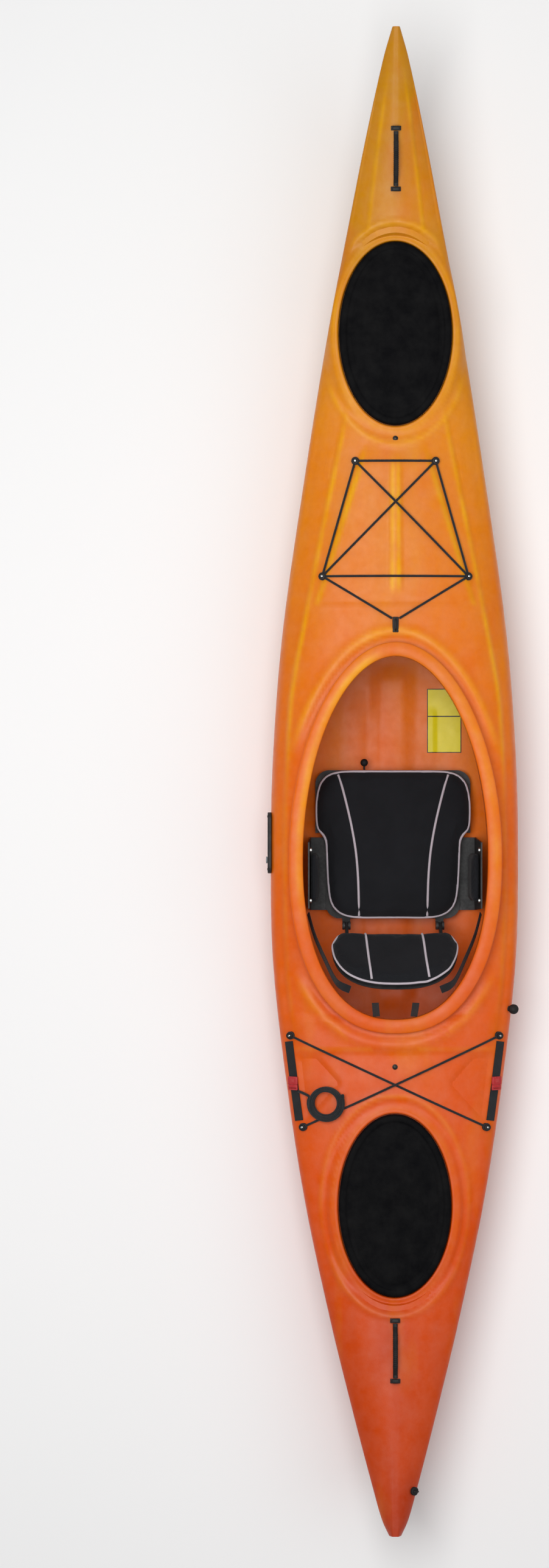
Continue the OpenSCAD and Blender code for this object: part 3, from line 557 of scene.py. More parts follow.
def turned(bm, profile, place=None, steps=40):
    """A turned piece: a profile of (radius, height) spun about the placed Z axis."""
    others = set(bm.verts)
    line = start(bm, [(r, 0, z) for r, z in profile], closed=False)
    edges = [bm.edges.get(pair) for pair in edge_pairs(line, False)]
    bmesh.ops.spin(
        bm, geom=line + edges, cent=(0, 0, 0), axis=(0, 0, 1), angle=2 * math.pi, steps=steps,
        use_merge=True,
    )
    verts = [v for v in bm.verts if v not in others]
    bmesh.ops.remove_doubles(bm, verts=verts, dist=0.001)
    verts = [v for v in bm.verts if v not in others]
    bmesh.ops.transform(bm, matrix=place or Matrix(), verts=verts)


def moulded(bm, size, place=None, radius=1.5, segments=3):
    """A block with rounded edges, about the placed origin."""
    others = set(bm.verts)
    made = bmesh.ops.create_cube(bm, size=1)["verts"]
    bmesh.ops.scale(bm, vec=size, verts=made)
    edges = list({e for v in made for e in v.link_edges})
    bmesh.ops.bevel(
        bm, geom=edges, offset=radius, offset_type="OFFSET", affect="EDGES", segments=segments,
        profile=0.5, material=-1,
    )
    verts = [v for v in bm.verts if v not in others]
    bmesh.ops.transform(bm, matrix=place or Matrix(), verts=verts)


def both_sides(bm):
    """Adds the starboard twin of what was modelled to port."""
    bmesh.ops.mirror(bm, geom=bm.verts[:] + bm.edges[:] + bm.faces[:], axis="Y", merge_dist=0)


def piece(bm, name, body, material, replaces=(), angle=40, subdivision=0):
    """Makes a finished piece of what was modelled, at the origin, in metres."""
    bmesh.ops.scale(bm, vec=(MM, MM, MM), verts=bm.verts)
    bmesh.ops.recalc_face_normals(bm, faces=bm.faces)
    mesh = bpy.data.meshes.new(name)
    bm.to_mesh(mesh)
    bm.free()
    obj = bpy.data.objects.new(name, mesh)
    bpy.context.scene.collection.objects.link(obj)
    dress(obj, material, angle)
    if subdivision:
        smoother = obj.modifiers.new("Smooth", "SUBSURF")
        smoother.levels = subdivision
        smoother.render_levels = subdivision
    if body:
        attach(obj, body)
    if replaces:
        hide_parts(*replaces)
    return obj


def dress(obj, material, angle=40):
    obj.data.materials.clear()
    obj.data.materials.append(material)
    obj.data.shade_smooth()
    obj.data.set_sharp_from_angle(angle=math.radians(angle))


# ---------------------------------------------------------------- the moulded hull

STATIONS, BOTTOM_STEPS, DECK_STEPS = 430, 32, 50
LINING_STATIONS, LINING_BOTTOM_STEPS, LINING_DECK_STEPS = 190, 26, 20
LINING_END = 1780.0
HATCH_EDGE = 14.0
COAMING_FOOT = 16.0
LINING_HATCH_EDGE = 22.0
SLOT_HALF = 9.8
SLOT_FRONT, SLOT_REAR = -1216.0, -1522.0


def quarter_steps(bottom, top):
    return [i / bottom for i in range(bottom)] + [1 + i / top for i in range(2 * top)] + [
        3 + i / bottom for i in range(bottom + 1)
    ]


def skin_grid(bm, stations, bottom, top, reach, inset):
    """A sleeve on the hull's lines: a flat grid, wrapped round every station."""
    quarters = quarter_steps(bottom, top)
    around = len(quarters) - 1
    made = bmesh.ops.create_grid(bm, x_segments=stations, y_segments=around, size=0.5)["verts"]
    lines = {}
    for vertex in made:
        i = round((vertex.co.x + 0.5) * stations)
        q = quarters[round((vertex.co.y + 0.5) * around)]
        u = i / stations
        x = reach * (0.86 * (1 - 2 * u) + 0.14 * math.cos(math.pi * u))
        if i not in lines:
            lines[i] = breadth(x) - inset
        half = lines[i]
        starboard = q > 2
        q = 4 - q if starboard else q
        if q <= 1:
            y = half * math.sin(q * math.pi / 2)
            z = lining_z(x, y) if inset else floor_z(x, y)
        else:
            y = half * math.sin((2 - q) * math.pi / 2)
            z = deck_z(x, y, inset) if inset else skin_z(x, y)
        vertex.co = (x, -y if starboard else y, z)
    bmesh.ops.remove_doubles(bm, verts=made, dist=0.02)
    return [v for v in made if v.is_valid]


def rims(bm, faces):
    """Cuts faces out, with the vertices they leave loose, and returns every open edge left in the skin."""
    bmesh.ops.delete(bm, geom=faces, context="FACES")
    loose = [v for v in bm.verts if not v.link_edges]
    bmesh.ops.delete(bm, geom=loose, context="VERTS")
    open_edges = {e for e in bm.edges if e.is_boundary}
    return open_edges


def walk(edges):
    """The loops of vertices that a set of open edges makes."""
    edges = set(edges)
    loops = []
    while edges:
        edge = edges.pop()
        first, at = edge.verts
        loop = [first, at]
        while True:
            step = next((e for e in at.link_edges if e in edges), None)
            if step is None:
                break
            edges.discard(step)
            at = step.other_vert(at)
            if at is first:
                break
            loop.append(at)
        loops.append(loop)
    return loops


def fit(loop, angle_of, point_of, height):
    """Moves the rim of a hole onto its true outline, and eases the faces beside it."""
    angles = [angle_of(v.co.x, v.co.y) for v in loop]
    turn = sum(
        math.remainder(b - a, 2 * math.pi) for a, b in zip(angles, angles[1:] + angles[:1])
    )
    if turn < 0:
        loop.reverse()
        angles.reverse()
    count = len(loop)
    steps = [
        math.remainder(angles[(i + 1) % count] - angles[i], 2 * math.pi) for i in range(count)
    ]
    for _ in range(14):
        steps = [
            0.25 * steps[i - 1] + 0.5 * steps[i] + 0.25 * steps[(i + 1) % count]
            for i in range(count)
        ]
    total = sum(steps)
    a = angles[0]
    for vertex, step in zip(loop, steps):
        x, y = point_of(a)
        vertex.co = (x, y, height(x, y))
        a += step * 2 * math.pi / total
    near, edge = set(loop), set(loop)
    for _ in range(4):
        edge = {e.other_vert(v) for v in edge for e in v.link_edges} - near
        near |= edge
    near -= set(loop)
    near = [v for v in near if v.co.z > sheer(v.co.x) + 4 and abs(v.co.y) < 0.95 * breadth(v.co.x)]
    for _ in range(8):
        moved = []
        for v in near:
            others = [e.other_vert(v).co for e in v.link_edges]
            middle = sum(others, Vector()) / len(others)
            moved.append(v.co.lerp(middle, 0.5))
        for v, co in zip(near, moved):
            v.co = (co.x, co.y, height(co.x, co.y))
    return loop, angle_of


def coaming_profile(a):
    """Radii and heights up the coaming's outside, over its lip and down its inside."""
    foot = skin_z(*opening_point(a, COAMING_FOOT))
    top = coaming_top(opening_point(a)[0])
    under = top - LIP_THICKNESS
    high = under - foot
    crown = sizes().lip_crown / MM
    w = LIP_WIDTH
    inside = deck_z(*opening_point(a), WALL) - 2
    return [
        (10, foot + 0.06 * high), (6.8, foot + 0.24 * high), (5.2, foot + 0.52 * high),
        (5, foot + 0.8 * high), (6.2, under - 1.6), (9, under - 0.4), (18, under - 0.1),
        (w - 5, under), (w - 1.2, under + 0.7), (w + 0.3, under + 1.9), (w - 0.2, top - 1.7),
        (w - 2.2, top - 0.4), (w - 6, top + 0.5), (w * 0.62, top + crown),
        (w * 0.4, top + crown), (w * 0.2, top + 0.6 * crown), (3.2, top), (1.2, top - 1.1),
        (0.2, top - 3), (0, top - 6), (0, inside + 0.4 * (top - inside)), (0, inside),
    ]


def hatch_profile(top):
    """Radii and heights over a hatch's rim, down its channel and over the seat of its cover."""
    collar = top - sizes().collar_depth / MM
    low = top - COVER_SKIRT - 3
    seat = top - COVER_THICKNESS - 1
    return [
        (12, collar + 0.9), (9, collar + 1.5), (6, collar + 1.5), (4, collar + 0.8),
        (2.8, collar - 0.8), (2.2, collar - 3), (2, low + 1.5), (1, low), (-4.5, low),
        (-6, low + 1.2), (-6, seat - 1), (-6.8, seat), (-10.2, seat), (-11, seat - 1),
        (-11, low - WALL), (-9, low - WALL - 1), (6, low - WALL - 1),
    ]


def cut_openings(bm, verts, lining):
    """Cuts the cockpit, the hatches and the skeg's slot in one skin and returns their rims."""
    outline = 3.0 if lining else COAMING_FOOT
    hatch_edge = LINING_HATCH_EDGE if lining else HATCH_EDGE
    inset = WALL if lining else 0.0
    height = (lambda x, y: deck_z(x, y, WALL)) if lining else skin_z
    faces = {f for v in verts for f in v.link_faces}
    kinds = {"cockpit": [], "bow": [], "stern": [], "slot": []}
    for face in faces:
        c = face.calc_center_median()
        if c.z > sheer(c.x) + 8:
            if OPENING_REAR - 30 < c.x < OPENING_FRONT + 30 and opening_reach(c.x, c.y) < outline:
                kinds["cockpit"].append(face)
            for name, (at, _) in HATCHES.items():
                if abs(c.x - at) < COVER_HALF_LENGTH + 30 and hatch_reach(name, c.x, c.y) < hatch_edge:
                    kinds[name].append(face)
        elif SLOT_REAR < c.x < SLOT_FRONT and abs(c.y) < SLOT_HALF:
            kinds["slot"].append(face)
    found = {}
    for kind, cut in kinds.items():
        before = {e for e in bm.edges if e.is_boundary}
        rims(bm, cut)
        fresh = {e for e in bm.edges if e.is_valid and e.is_boundary} - before
        loop = max(walk(fresh), key=len)
        if kind == "cockpit":
            fit(
                loop, lambda x, y: opening_angle(x, y, outline),
                lambda a: opening_point(a, outline), height,
            )
        elif kind in HATCHES:
            fit(
                loop, lambda x, y, k=kind: hatch_angle(k, x, y, hatch_edge),
                lambda a, k=kind: hatch_point(k, a, hatch_edge), height,
            )
        else:
            ahead = max(v.co.x for v in loop)
            behind = min(v.co.x for v in loop)
            for v in loop:
                x = SLOT_FRONT if v.co.x > ahead - 1 else SLOT_REAR if v.co.x < behind + 1 else v.co.x
                y = math.copysign(SLOT_HALF, v.co.y) if abs(v.co.y) > 2 else v.co.y
                v.co = (x, y, floor_z(x, y, inset))
        found[kind] = loop
    return found


def join_rims(bm, one, other):
    edges = [bm.edges.get(p) for loop in (one, other) for p in edge_pairs(loop)]
    bmesh.ops.bridge_loops(bm, edges=edges)


def lip_highlight(x, y):
    """Painted highlight in yellow along the coaming's lip, strongest on its port side in front, where the
    light falls.
    """
    out, turn = opening_reach(x, y), opening_angle(x, y)
    port_front = rise(0.05, 0.4, turn) * (1 - rise(1.5, 2.1, turn))
    starboard_front = rise(0.5, 1.0, -turn) * (1 - rise(1.5, 2.1, -turn))
    return port_front * hump(out - 10, 10) + 0.5 * starboard_front * hump(out - 22, 12)


def model_hull():
    bm = bmesh.new()
    outside = skin_grid(bm, STATIONS, BOTTOM_STEPS, DECK_STEPS, HALF, 0.0)
    for loop in walk({e for e in bm.edges if e.is_boundary}):
        close(bm, loop)
    rim = cut_openings(bm, outside, lining=False)
    loop = rim["cockpit"]
    angles = [opening_angle(v.co.x, v.co.y, COAMING_FOOT) for v in loop]
    profiles = [coaming_profile(a) for a in angles]
    for k in range(len(profiles[0])):
        loop = carry(
            bm, loop, [(*opening_point(a, p[k][0]), p[k][1]) for a, p in zip(angles, profiles)]
        )
    rim["cockpit"] = loop
    for name, (_, top) in HATCHES.items():
        loop = rim[name]
        angles = [hatch_angle(name, v.co.x, v.co.y, HATCH_EDGE) for v in loop]
        for r, z in hatch_profile(top):
            loop = carry(bm, loop, [(*hatch_point(name, a, r), z) for a in angles])
        rim[name] = loop
    loop = rim["slot"]
    rim["slot"] = carry(bm, loop, [v.co + Vector((0, 0, WALL * 0.6)) for v in loop])
    known = set(bm.verts)
    skin_grid(bm, LINING_STATIONS, LINING_BOTTOM_STEPS, LINING_DECK_STEPS, LINING_END, WALL)
    inside = [v for v in bm.verts if v not in known]
    for loop in walk({e for v in inside for e in v.link_edges if e.is_boundary}):
        close(bm, loop)
    inner = cut_openings(bm, inside, lining=True)
    for kind, loop in inner.items():
        join_rims(bm, rim[kind], loop)
    # Painted highlight per vertex: yellow along the coaming's lip and the deck's crests.
    layer = bm.verts.layers.float.new("ridge_highlight")
    for v in bm.verts:
        if v.co.z > coaming_top(v.co.x) - 12 and abs(v.co.x) < 700:
            v[layer] = lip_highlight(v.co.x, v.co.y)
        elif v.co.z > sheer(v.co.x) + 3:
            v[layer] = relief(v.co.x, v.co.y)[1]
    piece(
        bm, "hull_moulding", "hull", finish("hull_plastic"), ["hull_shell"],
        angle=50,
    )


# ---------------------------------------------------------------- finishes


def node(tree, kind, inputs=None, **settings):
    """A node with its settings and its inputs, which are numbers, colours or other sockets."""
    made = tree.nodes.new(kind)
    for key, value in settings.items():
        setattr(made, key, value)
    for key, value in (inputs or {}).items():
        socket = made.inputs[key]
        if isinstance(value, bpy.types.NodeSocket):
            tree.links.new(value, socket)
        else:
            socket.default_value = value
    return made


def maths(tree, operation, *values, clamp=False):
    made = node(tree, "ShaderNodeMath", operation=operation, use_clamp=clamp)
    for i, value in enumerate(values):
        if isinstance(value, bpy.types.NodeSocket):
            tree.links.new(value, made.inputs[i])
        else:
            made.inputs[i].default_value = value
    return made.outputs[0]


def mix(tree, factor, a, b, blend="MIX"):
    made = node(tree, "ShaderNodeMix", data_type="RGBA", blend_type=blend)
    for socket, value in ((made.inputs[0], factor), (made.inputs[6], a), (made.inputs[7], b)):
        if isinstance(value, bpy.types.NodeSocket):
            tree.links.new(value, socket)
        elif socket is made.inputs[0]:
            socket.default_value = value
        else:
            socket.default_value = (*value[:3], 1)
    return made.outputs[2]


def spread(tree, value, low, high, to_low=0.0, to_high=1.0):
    made = node(
        tree, "ShaderNodeMapRange",
        {"Value": value, "From Min": low, "From Max": high, "To Min": to_low, "To Max": to_high},
    )
    return made.outputs[0]


def place_on(tree, scale=(1, 1, 1), turn=(0, 0, 0)):
    here = node(tree, "ShaderNodeTexCoord").outputs["Object"]
    return node(
        tree, "ShaderNodeMapping", {"Vector": here, "Scale": scale, "Rotation": turn}
    ).outputs[0]


def clouds(tree, where, scale, detail=3.0, roughness=0.5):
    return node(
        tree, "ShaderNodeTexNoise",
        {"Vector": where, "Scale": scale, "Detail": detail, "Roughness": roughness},
    ).outputs["Fac"]


def effect(name, inputs, outputs):
    """A shader node group, built once: its tree and its two ends, or the built one."""
    if name in bpy.data.node_groups:
        return bpy.data.node_groups[name], None, None
    tree = bpy.data.node_groups.new(name, "ShaderNodeTree")
    for socket, kind, default in inputs:
        made = tree.interface.new_socket(socket, in_out="INPUT", socket_type=kind)
        if default is not None:
            made.default_value = default
    for socket, kind in outputs:
        tree.interface.new_socket(socket, in_out="OUTPUT", socket_type=kind)
    return tree, node(tree, "NodeGroupInput"), node(tree, "NodeGroupOutput")


def moulded_grain():
    """Fine dimples of a moulded surface, and a soft mottle in its shade."""
    tree, start_node, end = effect(
        "Moulded Grain",
        [("Vector", "NodeSocketVector", None), ("Dimples", "NodeSocketFloat", 900.0),
         ("Mottle", "NodeSocketFloat", 14.0)],
        [("Height", "NodeSocketFloat"), ("Shade", "NodeSocketFloat")],
    )
    if start_node:
        ins = start_node.outputs
        dimples = clouds(tree, ins["Vector"], ins["Dimples"], 2.0)
        mottle = clouds(tree, ins["Vector"], ins["Mottle"], 4.0, 0.6)
        tree.links.new(dimples, end.inputs["Height"])
        tree.links.new(spread(tree, mottle, 0.3, 0.7), end.inputs["Shade"])
    return tree


def edge_wear():
    """A mask of the edges that hands and straps have rubbed."""
    tree, start_node, end = effect(
        "Edge Wear",
        [("Vector", "NodeSocketVector", None), ("Reach", "NodeSocketFloat", 0.5)],
        [("Mask", "NodeSocketFloat")],
    )
    if start_node:
        ins = start_node.outputs
        edge = node(tree, "ShaderNodeNewGeometry").outputs["Pointiness"]
        patchy = clouds(tree, ins["Vector"], 160.0, 3.0)
        sharp = spread(tree, edge, 0.52, 0.62)
        tree.links.new(
            maths(tree, "MULTIPLY", maths(tree, "MULTIPLY", sharp, patchy), ins["Reach"], clamp=True),
            end.inputs["Mask"],
        )
    return tree


def dust():
    """A thin film that gathers on faces that look up."""
    tree, start_node, end = effect(
        "Dust",
        [("Vector", "NodeSocketVector", None), ("Amount", "NodeSocketFloat", 0.1)],
        [("Mask", "NodeSocketFloat")],
    )
    if start_node:
        ins = start_node.outputs
        up = node(
            tree, "ShaderNodeSeparateXYZ", {0: node(tree, "ShaderNodeNewGeometry").outputs["Normal"]}
        ).outputs["Z"]
        patchy = spread(tree, clouds(tree, ins["Vector"], 22.0, 6.0, 0.65), 0.35, 0.75)
        film = maths(tree, "MULTIPLY", maths(tree, "MULTIPLY", up, patchy), ins["Amount"], clamp=True)
        tree.links.new(film, end.inputs["Mask"])
    return tree


def plain_weave():
    """Threads over and under each other, from a flat position in metres."""
    tree, start_node, end = effect(
        "Plain Weave",
        [("Along", "NodeSocketFloat", None), ("Across", "NodeSocketFloat", None),
         ("Pitch", "NodeSocketFloat", 0.002)],
        [("Height", "NodeSocketFloat"), ("Thread", "NodeSocketFloat")],
    )
    if start_node:
        ins = start_node.outputs
        turn = maths(tree, "DIVIDE", 2 * math.pi, ins["Pitch"])
        u = maths(tree, "MULTIPLY", ins["Along"], turn)
        v = maths(tree, "MULTIPLY", ins["Across"], turn)
        warp = maths(tree, "SINE", u)
        weft = maths(tree, "SINE", v)
        over = maths(tree, "MULTIPLY", maths(tree, "SINE", maths(tree, "MULTIPLY", u, 0.5)),
                     maths(tree, "SINE", maths(tree, "MULTIPLY", v, 0.5)))
        pick = spread(tree, over, -0.3, 0.3)
        height = maths(tree, "ADD", maths(tree, "MULTIPLY", maths(tree, "ABSOLUTE", warp), pick),
                       maths(tree, "MULTIPLY", maths(tree, "ABSOLUTE", weft),
                             maths(tree, "SUBTRACT", 1.0, pick)))
        tree.links.new(height, end.inputs["Height"])
        tree.links.new(pick, end.inputs["Thread"])
    return tree


def group(tree, made, inputs):
    placed = node(tree, "ShaderNodeGroup", node_tree=made)
    for key, value in inputs.items():
        if isinstance(value, bpy.types.NodeSocket):
            tree.links.new(value, placed.inputs[key])
        else:
            placed.inputs[key].default_value = value
    return placed.outputs


def new_finish(name):
    material = bpy.data.materials.new(f"{name}_surface")
    material.use_nodes = True
    tree = material.node_tree
    tree.nodes.clear()
    shader = node(tree, "ShaderNodeBsdfPrincipled")
    end = node(tree, "ShaderNodeOutputMaterial")
    tree.links.new(shader.outputs[0], end.inputs["Surface"])
    shader.inputs["Specular IOR Level"].default_value = 0.2
    return material, tree, shader


def feed(tree, shader, base, roughness, height=None, strength=0.3, distance=0.0006):
    tree.links.new(base, shader.inputs["Base Color"])
    tree.links.new(roughness, shader.inputs["Roughness"])
    if height is not None:
        bump = node(
            tree, "ShaderNodeBump", {"Height": height, "Strength": strength, "Distance": distance}
        )
        tree.links.new(bump.outputs[0], shader.inputs["Normal"])


def hull_plastic():
    """Golden yellow that runs through orange to red, in clouds, with painted yellow highlight along the
    crests.
    """
    material, tree, shader = new_finish("hull_plastic")
    c = colours()
    where = place_on(tree)
    along = node(tree, "ShaderNodeSeparateXYZ", {0: where}).outputs["X"]
    long_clouds = clouds(tree, place_on(tree, (0.6, 1.6, 1.6)), 2.6, 4.0, 0.55)
    drift = maths(tree, "MULTIPLY", maths(tree, "SUBTRACT", long_clouds, 0.5), 0.3)
    place = maths(tree, "ADD", spread(tree, along, -1.93, 1.93), drift, clamp=True)
    ramp = node(tree, "ShaderNodeValToRGB", {"Fac": place})
    stops = [(0.0, c.stern), (0.22, c.aftdeck), (0.5, c.midships), (0.72, c.foredeck), (0.93, c.bow)]
    elements = ramp.color_ramp.elements
    while len(elements) < len(stops):
        elements.new(0.5)
    for element, (at, value) in zip(elements, stops):
        element.position = at
        element.color = (*value, 1)
    warm = spread(tree, clouds(tree, place_on(tree, (0.8, 2.2, 2.2), (0, 0, 0.2)), 3.4, 3.0), 0.5, 0.72)
    base = mix(tree, maths(tree, "MULTIPLY", warm, 0.34), ramp.outputs["Color"], c.aftdeck)
    pale = spread(tree, clouds(tree, place_on(tree, (0.7, 2.6, 2.6), (0, 0, 1.1)), 2.9, 3.0), 0.54, 0.76)
    base = mix(tree, maths(tree, "MULTIPLY", pale, 0.36), base, c.foredeck)
    # Painted highlight: yellow along the crests, stronger towards the bow and broken by streaks.
    ridge_highlight = node(tree, "ShaderNodeAttribute", attribute_name="ridge_highlight").outputs["Fac"]
    ahead = spread(tree, along, -1.2, 0.6, 0.18, 0.9)
    streak = spread(tree, clouds(tree, where, 9.0, 3.0), 0.3, 0.62, 0.35, 1.0)
    base = mix(
        tree, maths(tree, "MULTIPLY", maths(tree, "MULTIPLY", ridge_highlight, ahead), streak, clamp=True),
        base, c.ridge_highlight,
    )
    grain = group(tree, moulded_grain(), {"Vector": where, "Dimples": 420.0, "Mottle": 60.0})
    base = mix(tree, maths(tree, "MULTIPLY", grain["Shade"], 0.1), base, c.stern)
    film = group(tree, dust(), {"Vector": where, "Amount": 0.05})["Mask"]
    base = mix(tree, film, base, (0.8, 0.72, 0.6))
    rough = spread(tree, clouds(tree, where, 30.0, 4.0), 0.3, 0.7, 0.3, 0.44)
    waves = maths(tree, "MULTIPLY", clouds(tree, where, 16.0, 2.0), 3.0)
    feed(tree, shader, base, rough, maths(tree, "ADD", grain["Height"], waves), 0.25, 0.0008)
    return material


def moulding(name, tint, low=0.42, high=0.58, dimples=900.0, bump=0.25, wear=0.5, worn=None, metal=0.0):
    """A moulded or cast finish: fine dimples, mottled gloss, and edges rubbed paler."""
    material, tree, shader = new_finish(name)
    where = place_on(tree)
    grain = group(tree, moulded_grain(), {"Vector": where, "Dimples": dimples, "Mottle": 35.0})
    tint = tuple(tint)
    worn = worn or tuple(min(1, 0.6 * v + 0.12) for v in tint)
    base = mix(tree, maths(tree, "MULTIPLY", grain["Shade"], 0.3), tint, tuple(v * 0.72 for v in tint))
    rubbed = group(tree, edge_wear(), {"Vector": where, "Reach": wear})["Mask"]
    base = mix(tree, rubbed, base, worn)
    film = group(tree, dust(), {"Vector": where, "Amount": 0.05})["Mask"]
    base = mix(tree, film, base, (0.42, 0.4, 0.37))
    rough = spread(tree, grain["Shade"], 0, 1, low, high)
    feed(tree, shader, base, rough, grain["Height"], bump, 0.0003)
    shader.inputs["Metallic"].default_value = metal
    return material


def brushed(name, tint, low, high):
    """Metal with fine brush lines."""
    material, tree, shader = new_finish(name)
    where = place_on(tree)
    lines = clouds(tree, place_on(tree, (40, 900, 900)), 1.0, 2.0)
    spots = clouds(tree, where, 90.0, 3.0)
    base = mix(tree, maths(tree, "MULTIPLY", spots, 0.4), tuple(tint), tuple(v * 0.7 for v in tint))
    feed(tree, shader, base, spread(tree, lines, 0.3, 0.7, low, high), lines, 0.12, 0.0002)
    shader.inputs["Metallic"].default_value = 1.0
    return material


def cloth(name, tint, lean=0.0):
    """Woven seat cloth: threads, lint and a soft sheen."""
    material, tree, shader = new_finish(name)
    where = place_on(tree, (1, 1, 1), (0, lean, 0))
    parts = node(tree, "ShaderNodeSeparateXYZ", {0: where}).outputs
    rise_z = maths(tree, "MULTIPLY", parts["Z"], 0.7)
    weave = group(
        tree, plain_weave(),
        {"Along": maths(tree, "ADD", parts["X"], rise_z),
         "Across": maths(tree, "ADD", parts["Y"], rise_z), "Pitch": sizes().weave_pitch},
    )
    tint = tuple(tint)
    base = mix(tree, maths(tree, "MULTIPLY", weave["Thread"], 0.45), tint, tuple(v * 2.1 for v in tint))
    faded = spread(tree, clouds(tree, where, 11.0, 5.0, 0.6), 0.4, 0.75)
    base = mix(tree, maths(tree, "MULTIPLY", faded, 0.3), base, tuple(v * 2.6 + 0.004 for v in tint))
    lint = spread(tree, clouds(tree, where, 900.0, 2.0), 0.7, 0.8)
    base = mix(tree, maths(tree, "MULTIPLY", lint, 0.25), base, (0.25, 0.25, 0.27))
    rough = spread(tree, weave["Height"], 0, 1, 0.9, 0.72)
    feed(tree, shader, base, rough, weave["Height"], 0.5, 0.0006)
    shader.inputs["Sheen Weight"].default_value = 0.08
    shader.inputs["Sheen Roughness"].default_value = 0.5
    return material


def woven_run(name, tint, second, pitch, braid, sheen=0.15):
    """Webbing, piping or braided cord, with its threads along the piece."""
    material, tree, shader = new_finish(name)
    run = node(tree, "ShaderNodeAttribute", attribute_name="run").outputs["Vector"]
    parts = node(tree, "ShaderNodeSeparateXYZ", {0: run}).outputs
    if braid:
        along = maths(tree, "ADD", parts["X"], parts["Y"])
        across = maths(tree, "SUBTRACT", parts["X"], parts["Y"])
    else:
        along, across = parts["X"], parts["Y"]
    weave = group(tree, plain_weave(), {"Along": along, "Across": across, "Pitch": pitch})
    tint, second = tuple(tint), tuple(second)
    where = place_on(tree)
    base = mix(tree, maths(tree, "MULTIPLY", weave["Thread"], 0.8), tint, second)
    worn = spread(tree, clouds(tree, where, 40.0, 4.0), 0.4, 0.8)
    base = mix(tree, maths(tree, "MULTIPLY", worn, 0.25), base, tuple(v * 1.6 + 0.01 for v in second))
    feed(tree, shader, base, spread(tree, weave["Height"], 0, 1, 0.85, 0.62), weave["Height"], 0.6, 0.0006)
    shader.inputs["Sheen Weight"].default_value = sheen
    return material


def hatch_rubber():
    """Matt rubber with a chalky bloom and faint mould marks."""
    material, tree, shader = new_finish("hatch_rubber")
    tint = tuple(colours().cover)
    where = place_on(tree)
    grain = group(tree, moulded_grain(), {"Vector": where, "Dimples": 1100.0, "Mottle": 9.0})
    base = mix(tree, maths(tree, "MULTIPLY", grain["Shade"], 0.5), tint, tuple(v * 1.6 for v in tint))
    bloom = spread(tree, clouds(tree, where, 3.2, 6.0, 0.7), 0.45, 0.8)
    base = mix(tree, maths(tree, "MULTIPLY", bloom, 0.2), base, tuple(v * 2 + 0.002 for v in tint))
    film = group(tree, dust(), {"Vector": where, "Amount": 0.02})["Mask"]
    base = mix(tree, film, base, (0.3, 0.29, 0.27))
    feed(tree, shader, base, spread(tree, grain["Shade"], 0, 1, 0.5, 0.66), grain["Height"], 0.3, 0.0004)
    shader.inputs["Specular IOR Level"].default_value = 0.03
    return material


def floor_paper():
    """A plain pale floor with the faintest unevenness."""
    material, tree, shader = new_finish("floor_paper")
    where = place_on(tree)
    soft = clouds(tree, where, 0.7, 2.0)
    base = mix(tree, soft, (0.96, 0.96, 0.96), (0.98, 0.98, 0.98))
    feed(tree, shader, base, spread(tree, soft, 0, 1, 0.85, 0.95))
    return material


FINISHES = {}


def finish(name):
    """The finish of that name, made the first time it is asked for."""
    if name not in FINISHES:
        FINISHES[name] = make_finish(name)
    return FINISHES[name]


def make_finish(name):
    c = colours()
    black, pipe = tuple(c.plastic), tuple(c.piping)
    makers = {
        "hull_plastic": hull_plastic,
        "hatch_rubber": hatch_rubber,
        "floor_paper": floor_paper,
        "black_plastic": lambda: moulding(name, black),
        "soft_black_plastic": lambda: moulding(name, black, 0.55, 0.72, 600.0, 0.4, 0.3),
        "grip_rubber": lambda: moulding(name, black, 0.6, 0.8, 1300.0, 0.4, 0.35),
        "grey_plastic": lambda: moulding(name, (0.32, 0.33, 0.34), 0.35, 0.5),
        "red_plastic": lambda: moulding(name, c.buckle, 0.28, 0.42, 700.0, 0.2, 0.5, (0.8, 0.3, 0.26)),
        "bulkhead_foam": lambda: moulding(name, (0.62, 0.2, 0.03), 0.6, 0.8, 260.0, 0.6, 0.2),
        "vinyl_label": lambda: moulding(name, c.label, 0.25, 0.4, 500.0, 0.1, 0.1),
        "label_ink": lambda: moulding(name, (0.03, 0.03, 0.03), 0.3, 0.5, 500.0, 0.1, 0.1),
        "stainless_steel": lambda: brushed(name, (0.62, 0.62, 0.6), 0.2, 0.38),
        "blackened_steel": lambda: brushed(name, (0.05, 0.045, 0.04), 0.35, 0.55),
        "rail_aluminium": lambda: brushed(name, (0.1, 0.1, 0.11), 0.35, 0.5),
        "seat_cloth": lambda: cloth(name, c.cloth),
        "backrest_cloth": lambda: cloth(name, c.cloth, math.radians(45)),
        "piping_cord": lambda: woven_run(name, pipe, tuple(v * 0.7 for v in pipe), 0.0016, True, 0.3),
        "black_webbing": lambda: woven_run(name, black, tuple(v * 2.6 for v in black), 0.0018, False),
        "bungee_braid": lambda: woven_run(name, black, tuple(v * 3 + 0.01 for v in black), 0.003, True),
    }
    return makers[name]()


# ---------------------------------------------------------------- operators


